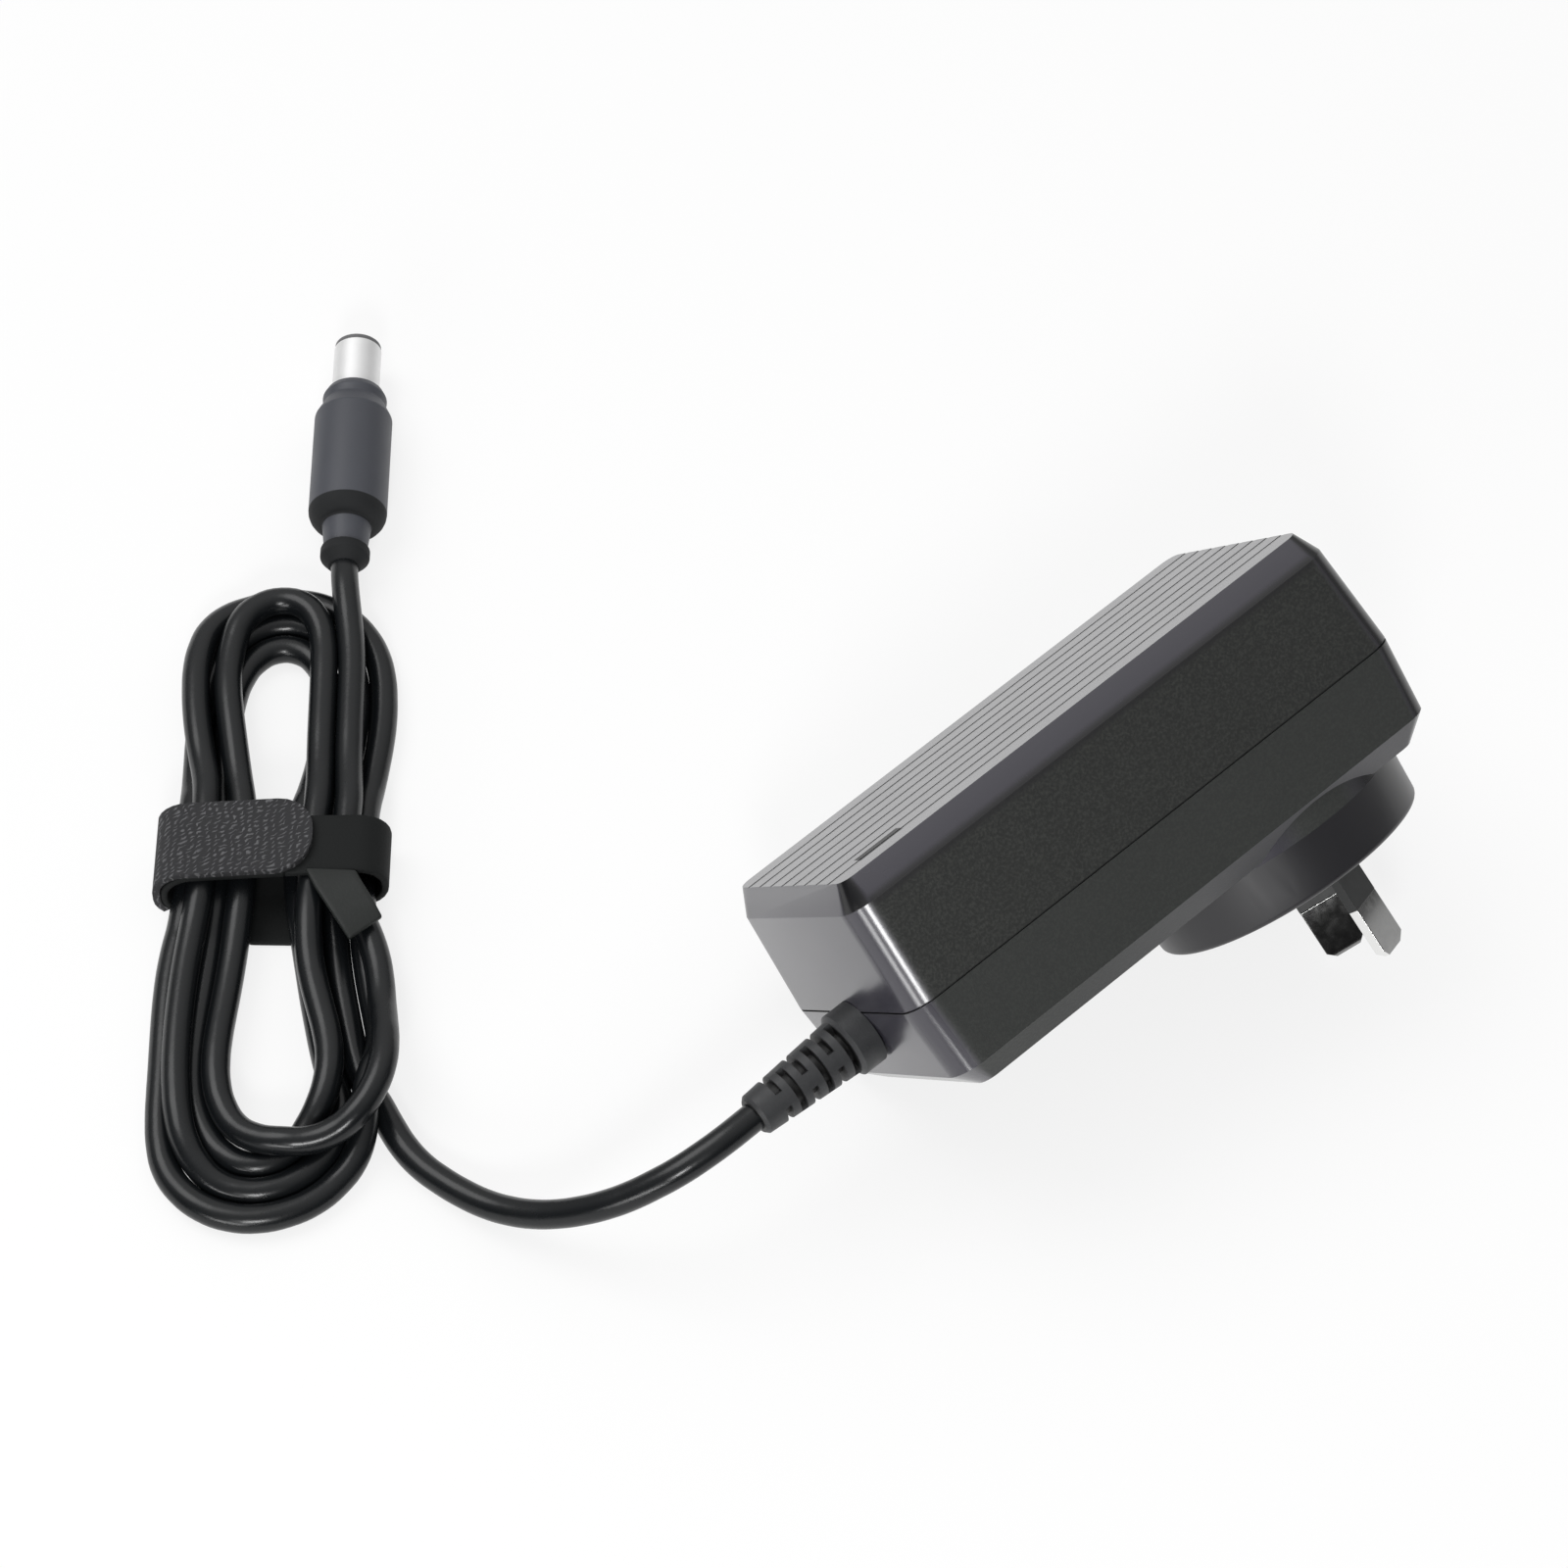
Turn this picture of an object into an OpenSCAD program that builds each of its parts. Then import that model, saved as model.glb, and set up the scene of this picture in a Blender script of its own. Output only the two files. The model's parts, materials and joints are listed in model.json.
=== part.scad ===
/* [Case] */
// Length of the case at the joint between its shells
case_l = 90; // [84:1:120]
// Width of the case at the joint
case_w = 47; // [47:0.5:60]
// Height of the case from plug face to ribbed face
case_h = 34.5; // [33:0.5:45]
// Height of the joint above the plug face
joint_h = 15; // [13:0.5:18]
// Thickness of every case wall
wall = 2.2; // [1.8:0.1:2.8]
// Radius of the upright corners
corner_r = 4.5; // [4:0.5:8]
// How far each side leans in from the joint to the edge of its shell
draft = 0.8; // [0.4:0.1:1.2]
// Size of the bevel round the plug face
bevel = 3.5; // [2.5:0.5:4.5]
// Height of the sloping band round the ribbed face
band_h = 4; // [3:0.5:6]
// How far the band leans in
band_in = 2; // [1:0.5:3]
// Height of the tongue of the top shell inside the bottom shell
tongue_h = 2; // [1:0.5:3]
// Height of the shadow gap at the joint
reveal_h = 0.3; // [0.2:0.1:0.6]
// Depth of the shadow gap
reveal_d = 0.5; // [0.3:0.1:0.8]

/* [Ribbed face] */
// Distance between grooves
groove_pitch = 4.5; // [3:0.1:7]
// Width of a groove
groove_w = 1.2; // [0.8:0.1:2]
// Depth of a groove
groove_d = 0.6; // [0.3:0.1:1]
// Smallest distance from the outer grooves to the edge
groove_margin = 4; // [3:0.5:8]

/* [Plug] */
// Radius of the round plug boss at the plug face
boss_r = 22; // [20:0.5:22]
// Height of the boss
boss_h = 8.5; // [7:0.5:12]
// How much narrower the boss is at its face
boss_taper = 0.5; // [0.2:0.1:1]
// Rounding of the boss rim
boss_rim = 0.8; // [0.4:0.1:1.5]
// Distance from the boss to the end of the case
boss_gap = 1.3; // [1:0.1:3]
// Distance between the middles of the two blades
blade_pitch = 13.7; // [12.7:0.1:14.5]
// How far the blades sit from the middle of the boss towards its near end
blade_shift = 4; // [0:0.5:6]
// Angle of each blade to the length of the case
blade_angle = 30; // [0:1:35]
// Width of a blade
blade_w = 6.35; // [6:0.05:7]
// Thickness of a blade
blade_t = 1.6; // [1.4:0.05:1.8]
// Length of a blade outside the boss
blade_l = 17; // [15:0.5:19]
// Length of the insulating sleeve outside the boss
sleeve_l = 8.5; // [6:0.5:10]
// Wall of the sleeve
sleeve_wall = 0.4; // [0.3:0.05:0.5]
// Chamfer of the blade tip across its width
tip_chamfer = 1.2; // [0.5:0.1:1.8]
// Chamfer of the blade tip across its thickness
tip_edge = 0.4; // [0.2:0.1:0.6]
// Width of the shoulder that stops a blade inside the boss
shoulder_w = 8.5; // [7.5:0.5:9]
// Height of the shoulder
shoulder_h = 1; // [0.8:0.1:1.5]
// Thickness of the plate that holds the blades down
retainer_t = 2.2; // [1.5:0.1:3]
// Border of that plate round the blades
retainer_edge = 4; // [3:0.5:4.5]
// Radius of its two locating pegs
peg_r = 1.2; // [0.8:0.1:1.5]
// Height of the solder tail of a blade above the plate
tail_h = 2.5; // [2:0.5:3]

/* [Pose] */
// How far the case leans back on the rim of its boss
roll = 54.5; // [50:0.5:60]
// How far the blades lift the plug end
tilt = 5; // [3:0.5:8]

/* [Cord] */
// Diameter of the cord
cord_d = 4.2; // [3.6:0.1:5]
// Distance from the joint down to the axis of the strain relief
boot_drop = 3.3; // [2:0.1:4]
// Length of the strain relief outside the case
boot_l = 20; // [15:1:28]
// Diameter of its collar
collar_d = 10; // [9:0.5:11]
// Length of its collar
collar_l = 4; // [2:0.5:6]
// Diameter of its ribs next to the collar
rib_root_d = 8.6; // [8:0.1:9]
// Diameter of its last rib
rib_tip_d = 6.4; // [5.8:0.1:7]
// Distance between its grooves
rib_pitch = 2.3; // [2:0.1:4]
// Width of a groove
rib_gap = 1.1; // [0.8:0.1:1.5]
// Thickness of its wall round the cord, inside the grooves
rib_core = 0.5; // [0.3:0.1:0.8]
// Width of the webs that cross a groove
web_w = 2.4; // [1.5:0.1:3]
// Diameter of its neck in the case wall
neck_d = 7; // [6:0.5:8]
// Thickness of its flange inside the case
flange_t = 2; // [1.5:0.5:3]
// Length of its nose inside the case
nose_l = 1.5; // [1:0.5:3]

/* [Hank] */
// Height of the folded cord
hank_h = 9.2; // [8:0.1:12]
// Radius of the fold next to the connector
lobe_near_r = 15.4; // [13:0.1:17]
// Distance from the tie to the middle of that fold
lobe_near_x = 33; // [28:1:40]
// Radius of the far fold
lobe_far_r = 17.6; // [15:0.1:19]
// Distance from the tie to the middle of the far fold
lobe_far_x = 45.6; // [40:0.1:60]
// Length of the tie along the hank
tie_w = 13.5; // [10:0.5:18]
// Thickness of the tie
tie_t = 1.4; // [1:0.1:2]
// Width of the hank inside the tie
waist_w = 29.6; // [27:0.1:32]
// Length of the loose end of the tie
tab_l = 10.5; // [6:0.5:14]
// Width of the loose end
tab_w = 6; // [4:0.5:8]

/* [Connector] */
// Diameter of the metal barrel
barrel_d = 7.4; // [7:0.1:8]
// Length of the barrel
barrel_l = 9.3; // [8:0.1:12]
// Wall of the barrel
barrel_wall = 0.4; // [0.35:0.05:0.5]
// Height of the insulating rim at the mouth of the barrel
rim_h = 0.8; // [0.5:0.1:1.2]
// Thickness of the insulator between barrel and inner sleeve
insulator_wall = 0.5; // [0.4:0.05:0.6]
// Wall of the inner contact sleeve
contact_wall = 0.3; // [0.2:0.05:0.4]
// Diameter of the centre pin
pin_d = 0.7; // [0.5:0.1:1]
// Length of the centre pin
pin_l = 6; // [5:0.5:8]
// Diameter of the grip
grip_d = 12.1; // [11:0.1:14]
// Length of the grip behind the barrel
grip_l = 23.1; // [18:0.1:30]
// Length of the stepped nose of the grip
plug_nose_l = 5.3; // [4:0.1:7]
// Diameter of the nose next to the barrel
nose_tip_d = 8.8; // [8.4:0.1:9.4]
// Diameter of the ring on the nose
nose_ring_d = 10.1; // [9.6:0.1:10.6]
// Rounding of the back of the grip
grip_round = 2.6; // [1.5:0.1:3.5]
// Length of the ring at the end of the neck
cuff_l = 3.2; // [2.4:0.1:4]
// Length of the moulded neck behind the grip
plug_neck_l = 10.4; // [8:0.1:13]
// Diameter of the moulded neck
plug_neck_d = 7.6; // [6.6:0.1:8.5]
// Distance from the tie to the tip of the barrel
plug_x = 92.6; // [88:0.1:110]
// Distance from the middle of the hank to the axis of the connector
plug_y = 7.5; // [3:0.5:9]

/* [Circuit board] */
// Thickness of the board
board_t = 1.6; // [1:0.1:2]
// Height of the board's underside above the plug face
board_z = 6; // [5.5:0.1:7]
// Gap between the board and the case's long sides
board_side = 1.5; // [1:0.1:2]
// Gap between the board and the plug end of the case
board_end = 1; // [0.5:0.1:2]
// Room for the output leads between the board and the cord end
lead_room = 8; // [7:0.5:9]
// Radius of the posts that carry the board
post_r = 1.6; // [1.2:0.1:2]
// Distance between neighbouring components
part_gap = 1.5; // [1:0.1:1.6]
// Distance from the components to the edge of the board
edge_gap = 1; // [0.5:0.1:1.2]
// Gap above the tallest components
head_gap = 2.3; // [1.5:0.1:3]
// Thickness of the insulating sheet under the ribbed face
sheet_t = 0.4; // [0.2:0.1:0.6]

/* [Components] */
// Diameter of the fuse
fuse_d = 8.5; // [7:0.5:9]
// Height of the fuse
fuse_h = 8; // [6:0.5:10]
// Diameter of the varistor
varistor_d = 9; // [7:0.5:9]
// Diameter of the inrush limiter
limiter_d = 8; // [6:0.5:8]
// Thickness of the varistor and of the limiter
disc_t = 4; // [3:0.5:5]
// Thickness of the X capacitor
xcap_t = 8; // [6:0.5:8]
// Width of the X capacitor
xcap_w = 15; // [12:0.5:16]
// Height of the X capacitor
xcap_h = 14; // [10:0.5:18]
// Outer diameter of the choke core
choke_d = 11; // [10:0.5:12]
// Inner diameter of the choke core
choke_bore = 5.5; // [5:0.5:6]
// Height of the choke core
choke_h = 6; // [4:0.5:8]
// Thickness of the winding round the choke core
choke_wire = 1.2; // [0.8:0.1:1.3]
// Diameter of the bulk capacitor
bulk_d = 14; // [12.5:0.5:16]
// Thickness of the bridge rectifier
bridge_t = 3.5; // [3:0.1:4]
// Width of the bridge rectifier
bridge_w = 13; // [12:0.5:15]
// Height of the bridge rectifier
bridge_h = 11; // [8:0.5:14]
// Thickness of the heat sinks
sink_t = 1.6; // [1:0.1:2]
// Length of the primary heat sink
sink_primary_l = 22; // [18:1:24]
// Length of the secondary heat sink
sink_secondary_l = 20; // [16:1:24]
// Height of the heat sinks
sink_h = 19; // [17:0.5:20]
// Width of a power transistor
fet_w = 10; // [9:0.5:10.5]
// Thickness of its body
fet_t = 4.5; // [4:0.1:5]
// Height of its legs
fet_leg = 3; // [2:0.5:4]
// Height of its body
fet_body = 9; // [8:0.5:9.5]
// Height of its metal tab
fet_tab = 5.5; // [5:0.5:6]
// Thickness of its metal tab
fet_tab_t = 1.3; // [1:0.1:1.5]
// Radius of the heat-sink screws
screw_r = 1.5; // [1.2:0.1:1.7]
// Length of the transformer core
core_l = 21; // [19:0.5:22]
// Depth of the transformer core
core_d = 14; // [12:0.5:15]
// Height of the transformer core
core_h = 20; // [16:0.5:22]
// Thickness of its back and outer legs
core_leg = 3; // [2.5:0.5:3.5]
// Diameter of its middle leg
core_mid_d = 7.5; // [6:0.5:8]
// Wall of the bobbin
bobbin_wall = 0.8; // [0.5:0.1:1]
// Thickness of the winding
winding_t = 2.7; // [1.5:0.1:2.8]
// Diameter of the Y capacitor
ycap_d = 8; // [6:0.5:9]
// Thickness of the Y capacitor
ycap_t = 3.5; // [3:0.5:4]
// Diameter of an output capacitor
outcap_d = 7.5; // [6.3:0.1:8]
// Height of an output capacitor
outcap_h = 16; // [12:0.5:20]
// Diameter of the output choke
outchoke_d = 6; // [5:0.5:7]
// Height of the output choke
outchoke_h = 9; // [6:0.5:12]
// Length of the optocoupler
opto_l = 6.5; // [5:0.1:7]
// Width of the optocoupler
opto_w = 4.6; // [4:0.1:5]
// Height of the optocoupler
opto_h = 3.5; // [3:0.1:4]
// Length of the controller chip
chip_l = 5; // [4:0.1:6]
// Width of the controller chip
chip_w = 4; // [3:0.1:5]
// Height of the controller chip
chip_h = 1.6; // [1:0.1:2]
// Radius of an output lead
lead_r = 0.65; // [0.5:0.05:0.7]
// Radius of an input lead
feed_r = 0.9; // [0.7:0.05:1]
// Distance from the middle of the hank to the side of the tie's loose end
tab_y = 7; // [4:0.5:9]

/* [Hidden] */

skin = 0.01;          // thickness of the slabs that a tapered block is hulled from
over = 1;             // how far a cutter runs past the face it opens
fit = 0.1;            // clearance between pieces that slide into each other
miter = tan(22.5);    // offset of an inner edge along a 45 degree bevel, per wall thickness
$fn = 64;

// Outlines of the case: [half length, half width, corner radius, height]
function level(inset, r, z) = [case_l / 2 - inset, case_w / 2 - inset, r, z];
plug_edge = level(draft + bevel, corner_r / 2, 0);
bevel_edge = level(draft, corner_r, bevel);
joint_edge = level(0, corner_r, joint_h);
band_edge = level(draft, corner_r, case_h - band_h);
rib_edge = level(draft + band_in, corner_r / 2, case_h);
inner_r = corner_r - wall;
floor_edge = level(draft + bevel + wall * miter, inner_r, wall);
inner_bevel = level(draft + wall, inner_r, bevel + wall * miter);
inner_joint = level(wall, inner_r, joint_h);
inner_band = level(draft + wall, inner_r, case_h - band_h);
ceiling_z = case_h - wall;
inner_rib = level(draft + band_in + wall, inner_r, ceiling_z);
tongue_edge = level(wall / 2 + fit, corner_r - wall / 2, joint_h - tongue_h);

groove_n = floor((2 * rib_edge[1] - 2 * groove_margin) / groove_pitch) + 1;

boss_x = case_l / 2 - boss_gap - boss_r;
boss_face_r = boss_r - boss_taper;
boss_top_r = boss_r + boss_taper * bevel / boss_h;
boss_inner_r = boss_face_r - wall;
boss_floor = wall - boss_h;
blade_x = boss_x + blade_shift;
retainer_z = boss_floor + shoulder_h;
tail_z = retainer_z + retainer_t + tail_h;
peg_x = blade_x - blade_w / 2 - retainer_edge / 2 - peg_r;

boot_z = joint_h - boot_drop;
boot_seat = case_l / 2 - draft - wall;
rib_n = floor((boot_l - collar_l) / rib_pitch);

// How far the outside of the case, boss and blades reaches along direction d
function reach_level(l, d) = (l[0] - l[2]) * abs(d[0]) + (l[1] - l[2]) * abs(d[1])
    + l[2] * norm([d[0], d[1]]) + l[3] * d[2];
function reach_boss(d) = boss_x * d[0] + (boss_face_r - boss_rim) * norm([d[0], d[1]])
    + (boss_rim - boss_h) * d[2] + boss_rim;
function blade_point(side, w, t, z) = [
    blade_x + w * cos(blade_angle) + t * sin(blade_angle),
    side * (blade_pitch / 2 - w * sin(blade_angle) + t * cos(blade_angle)),
    z
];
function reach_blade(side, d) = max([
    for (w = [-1, 1], t = [-1, 1]) max(
        blade_point(side, w * (blade_w / 2 - tip_chamfer), t * (blade_t / 2 - tip_edge),
            -boss_h - blade_l) * d,
        blade_point(side, w * blade_w / 2, t * (blade_t / 2 - tip_edge),
            tip_chamfer - boss_h - blade_l) * d)
]);
function reach(d) = max([
    reach_level(plug_edge, d), reach_level(bevel_edge, d), reach_level(joint_edge, d),
    reach_level(band_edge, d), reach_level(rib_edge, d), reach_boss(d),
    reach_blade(1, d), reach_blade(-1, d)
]);

// The adapter lies on the rim of its boss, a blade tip and a corner
along_x = [cos(tilt), sin(tilt) * sin(roll), -sin(tilt) * cos(roll)];
along_y = [0, cos(roll), sin(roll)];
along_z = [sin(tilt), -cos(tilt) * sin(roll), cos(tilt) * cos(roll)];
rest = [
    (reach(-along_x) - reach(along_x)) / 2,
    (reach(-along_y) - reach(along_y)) / 2,
    reach(-along_z)
];
module resting() translate(rest) rotate([-roll, -tilt, 0]) children();
function rested(p) = rest + [p * along_x, p * along_y, p * along_z];

// Board and rows of components, from the plug end to the cord end
board_x1 = boot_seat - board_end;
board_x0 = lead_room - boot_seat;
board_y = case_w / 2 - draft - wall - board_side;
board_top = board_z + board_t;
part_x1 = board_x1 - edge_gap;
part_y = board_y - edge_gap;
bulk_h = ceiling_z - sheet_t - head_gap - board_top;
fuse_x = part_x1 - fuse_d / 2;
fuse_y = fuse_d / 2 - part_y;
varistor_y = fuse_y + (fuse_d + varistor_d) / 2 + part_gap;
limiter_y = varistor_y + (varistor_d + limiter_d) / 2 + part_gap;
row_2 = fuse_x - fuse_d / 2 - part_gap;
xcap_x = row_2 - xcap_t / 2;
xcap_y = xcap_w / 2 - part_y;
choke_out_r = choke_d / 2 + choke_wire;
choke_x = row_2 - choke_out_r;
choke_y = part_y - choke_out_r;
bulk_x = xcap_x - (xcap_t + bulk_d) / 2 - part_gap;
bulk_y = bulk_d / 2 - part_y;
bridge_x = choke_x - choke_out_r - part_gap - bridge_t / 2;
bridge_y = part_y - bridge_w / 2;
row_3 = bridge_x - bridge_t / 2 - part_gap;
sink_y = part_y - sink_t;
fet_x = row_3 - fet_w / 2;
sink_x0 = row_3 - sink_primary_l;
landing_x = board_x0 + edge_gap + lead_r;
out_x = landing_x + lead_r + part_gap + outcap_d / 2;
core_x = out_x + (outcap_d + core_l) / 2 + part_gap;
bobbin_r = core_mid_d / 2 + fit + bobbin_wall;
winding_r = bobbin_r + winding_t;
ycap_y = -max(winding_r, core_d / 2) - part_gap - ycap_t / 2;
opto_y = max(winding_r, core_d / 2) + part_gap + opto_w / 2;
outcap_y = part_y - outcap_d / 2;
outchoke_y = fet_t + part_gap + outchoke_d / 2 - sink_y;
chip_x = bridge_x - 2 * chip_l;
screw_z = board_top + fet_leg + fet_body + fet_tab / 2;

// Places of the hank's holes: [distance from the tie, sideways, radius]
hole_near = [[11, 0.5, 2.6], [28.5, 1.1, 5.4]];
hole_far = [[-16, 0.5, 1.6], [-39.5, -1.2, 6]];
hank_pos = [-83, 88.5, 0];
hank_turn = 49.5;
module at_hank() translate(hank_pos) rotate([0, 0, hank_turn]) children();
tie_r = (hank_h - tie_t) / 2 - 0.5;

// Route of the free cord from the strain relief to the hank
boot_tip = rested([-case_l / 2 - boot_l, 0, boot_z]);
tail_points = [
    boot_tip, boot_tip - 1.5 * cord_d * [cos(tilt), 0, sin(tilt)],
    [-78, 3.5, 18.6], [-85.5, 7.5, 13.6], [-91.5, 14, 8], [-95.5, 21.5, 4.2],
    [-98, 30, 2.5], [-99, 38, 2.2], [-97.5, 47, 2.2]
];

plug_r = grip_d / 2;
plug_back = plug_x - barrel_l - grip_l - plug_neck_l;
lead_end = lobe_near_x + sqrt(pow(lobe_near_r, 2) - pow(plug_y, 2));
lead_points = [[plug_back, -plug_y, plug_r], [lead_end - cord_d, -plug_y, plug_r]];
barrel_seat = 2;      // length of the barrel and its core inside the grip
seat_d = barrel_d - barrel_wall;
cuff_step = 0.25;     // how far the rings on the connector stand out
tube_sides = 10;

// Swept tube
function unit(v) = v / norm(v);
function heading(pts, i) = unit(pts[min(i + 1, len(pts) - 1)] - pts[max(i - 1, 0)]);
function ring_point(p, t, r, a) = let (side = unit(cross(t, [0, 0, 1])), up = cross(side, t))
    p + r * (cos(a) * side + sin(a) * up);
module tube(pts, d) {
    n = tube_sides;
    rings = len(pts);
    points = [
        for (i = [0 : rings - 1], k = [0 : n - 1])
            ring_point(pts[i], heading(pts, i), d / 2, k * 360 / n)
    ];
    sides = [
        for (i = [0 : rings - 2], k = [0 : n - 1])
            [i * n + k, i * n + (k + 1) % n, (i + 1) * n + (k + 1) % n, (i + 1) * n + k]
    ];
    ends = [
        [for (k = [n - 1 : -1 : 0]) k],
        [for (k = [0 : n - 1]) (rings - 1) * n + k]
    ];
    polyhedron(points, concat(sides, ends), convexity = 4);
}

// Case blocks
module corners(l)
    for (x = [-1, 1], y = [-1, 1])
        translate([x * (l[0] - l[2]), y * (l[1] - l[2]), l[3]])
            cylinder(r = l[2], h = skin, $fn = 32);
module block(low, high)
    hull() {
        corners(low);
        translate([0, 0, -skin]) corners(high);
    }
module plate(l, h)
    translate([0, 0, l[3]]) linear_extrude(h) {
        square([2 * l[0], 2 * (l[1] - l[2])], center = true);
        square([2 * (l[0] - l[2]), 2 * l[1]], center = true);
        for (x = [-1, 1], y = [-1, 1])
            translate([x * (l[0] - l[2]), y * (l[1] - l[2])]) circle(l[2]);
    }
module open_top(l) translate([0, 0, -skin]) plate(l, over);

module boss_outside()
    translate([boss_x, 0, 0]) rotate_extrude($fn = 96)
        polygon(concat(
            [[0, bevel], [0, -boss_h]],
            [for (a = [-90 : 15 : 0]) [
                boss_face_r - boss_rim + boss_rim * cos(a),
                boss_rim - boss_h + boss_rim * sin(a)
            ]],
            [[boss_r, 0], [boss_top_r, bevel]]));

// Neck of the strain relief through the case wall
module neck_hole()
    translate([-case_l / 2 - over, 0, boot_z]) rotate([0, 90, 0])
        cylinder(d = neck_d + 2 * fit, h = wall + draft + 2 * over);

module at_blade(side)
    translate([blade_x, side * blade_pitch / 2, 0]) rotate([0, 0, -side * blade_angle]) children();

module bottom_shell() color([0.2, 0.21, 0.21]) resting() {
    difference() {
        union() {
            block(plug_edge, bevel_edge);
            block(bevel_edge, joint_edge);
            boss_outside();
        }
        block(floor_edge, inner_bevel);
        block(inner_bevel, inner_joint);
        open_top(inner_joint);
        translate([boss_x, 0, boss_floor])
            cylinder(r = boss_inner_r, h = boss_h + bevel, $fn = 96);
        // seat of the top shell's tongue
        plate(level(wall / 2, corner_r - wall / 2, joint_h - tongue_h - fit), tongue_h + over);
        // shadow gap
        difference() {
            plate(level(-over, corner_r, joint_h - reveal_h), over);
            plate(level(reveal_d, corner_r - reveal_d, joint_h - reveal_h - over), 3 * over);
        }
        neck_hole();
        translate([-case_l / 2 - over, -neck_d / 2 - fit, boot_z])
            cube([wall + draft + 2 * over, neck_d + 2 * fit, boot_drop + over]);
        for (side = [-1, 1]) at_blade(side)
            translate([-blade_w / 2, -blade_t / 2, -boss_h - over])
                cube([blade_w, blade_t, wall + 2 * over]);
    }
    for (x = [board_x0 + post_r + edge_gap, floor_edge[0] - inner_r], y = [-1, 1])
        translate([x, y * (floor_edge[1] - inner_r), wall])
            cylinder(r = post_r, h = board_z - wall);
    for (y = [-1, 1])
        translate([peg_x, y * blade_pitch / 2, boss_floor])
            cylinder(r = peg_r, h = shoulder_h + retainer_t);
}

module top_shell() color([0.24, 0.25, 0.25]) resting()
    difference() {
        union() {
            block(joint_edge, band_edge);
            block(band_edge, rib_edge);
            plate(tongue_edge, tongue_h + skin);
        }
        block(inner_joint, inner_band);
        block(inner_band, inner_rib);
        plate(level(wall, inner_r, joint_h - tongue_h - over), tongue_h + over + skin);
        for (i = [0 : groove_n - 1])
            translate([-case_l / 2, (i - (groove_n - 1) / 2) * groove_pitch - groove_w / 2,
                case_h - groove_d])
                cube([case_l, groove_w, groove_d + over]);
        neck_hole();
    }

// Blade: a tip in full section, a thinner shank under the sleeve, a shoulder and a solder tail
module blade(side) color("silver") resting() at_blade(side) {
    tip_z = -boss_h - blade_l;
    shank_z = -boss_h - sleeve_l;
    half_w = blade_w / 2;
    half_t = blade_t / 2;
    intersection() {
        rotate([90, 0, 0]) linear_extrude(blade_t, center = true)
            polygon([
                [-half_w, shank_z], [-half_w, tip_z + tip_chamfer],
                [tip_chamfer - half_w, tip_z], [half_w - tip_chamfer, tip_z],
                [half_w, tip_z + tip_chamfer], [half_w, shank_z]
            ]);
        rotate([90, 0, 90]) linear_extrude(blade_w, center = true)
            polygon([
                [-half_t, shank_z], [-half_t, tip_z + tip_chamfer],
                [tip_edge - half_t, tip_z], [half_t - tip_edge, tip_z],
                [half_t, tip_z + tip_chamfer], [half_t, shank_z]
            ]);
    }
    translate([sleeve_wall - half_w, sleeve_wall - half_t, shank_z])
        cube([blade_w - 2 * sleeve_wall, blade_t - 2 * sleeve_wall, sleeve_l + wall]);
    translate([-shoulder_w / 2, -half_t, boss_floor])
        cube([shoulder_w, blade_t, shoulder_h]);
    translate([-half_w / 2, -half_t / 2, retainer_z])
        cube([half_w, half_t, retainer_t + tail_h]);
}
module blade_line() blade(-1);
module blade_neutral() blade(1);

module sleeve(side) color([0.08, 0.08, 0.08]) resting() at_blade(side)
    translate([0, 0, -boss_h - sleeve_l]) linear_extrude(sleeve_l + wall)
        difference() {
            square([blade_w, blade_t], center = true);
            square([blade_w - 2 * sleeve_wall, blade_t - 2 * sleeve_wall], center = true);
        }
module sleeve_line() sleeve(-1);
module sleeve_neutral() sleeve(1);

module blade_retainer() color([0.75, 0.72, 0.62]) resting() {
    plate_w = blade_pitch + blade_w + retainer_edge;
    x0 = peg_x - peg_r - retainer_edge / 2;
    difference() {
        translate([x0, -plate_w / 2, retainer_z])
            cube([blade_x + blade_w / 2 + retainer_edge / 2 - x0, plate_w, retainer_t]);
        for (side = [-1, 1]) {
            at_blade(side) translate([-blade_w / 4, -blade_t / 4, retainer_z - over])
                cube([blade_w / 2, blade_t / 2, retainer_t + 2 * over]);
            translate([peg_x, side * blade_pitch / 2, retainer_z - over])
                cylinder(r = peg_r + fit, h = retainer_t + 2 * over);
        }
    }
}

// Lead from the solder tail of a blade to the underside of the board
module feed(side) resting()
    translate([blade_x, side * blade_pitch / 2, tail_z])
        cylinder(r = feed_r, h = board_z - tail_z, $fn = 24);
module feed_line() color("black") feed(-1);
module feed_neutral() color("white") feed(1);

module circuit_board() color([0.1, 0.4, 0.2]) resting()
    translate([board_x0, -board_y, board_z])
        cube([board_x1 - board_x0, 2 * board_y, board_t]);

// Components stand on the board
module on_board(x, y) resting() translate([x, y, board_top]) children();

module fuse() color([0.35, 0.2, 0.12]) on_board(fuse_x, fuse_y)
    cylinder(d = fuse_d, h = fuse_h);

// Disc component on two wire legs
module standing_disc(d, t) {
    leg_h = edge_gap;
    translate([-t / 2, 0, leg_h + d / 2]) rotate([0, 90, 0]) cylinder(d = d, h = t);
    for (y = [-1, 1]) translate([0, y * d / 4, 0]) cylinder(r = feed_r / 3, h = d / 2, $fn = 16);
}
module varistor() color([0.1, 0.25, 0.6]) on_board(fuse_x, varistor_y)
    standing_disc(varistor_d, disc_t);
module inrush_limiter() color([0.15, 0.3, 0.2]) on_board(fuse_x, limiter_y)
    standing_disc(limiter_d, disc_t);
module y_capacitor() color([0.15, 0.35, 0.7]) on_board(core_x, ycap_y)
    rotate([0, 0, 90]) standing_disc(ycap_d, ycap_t);

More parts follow.
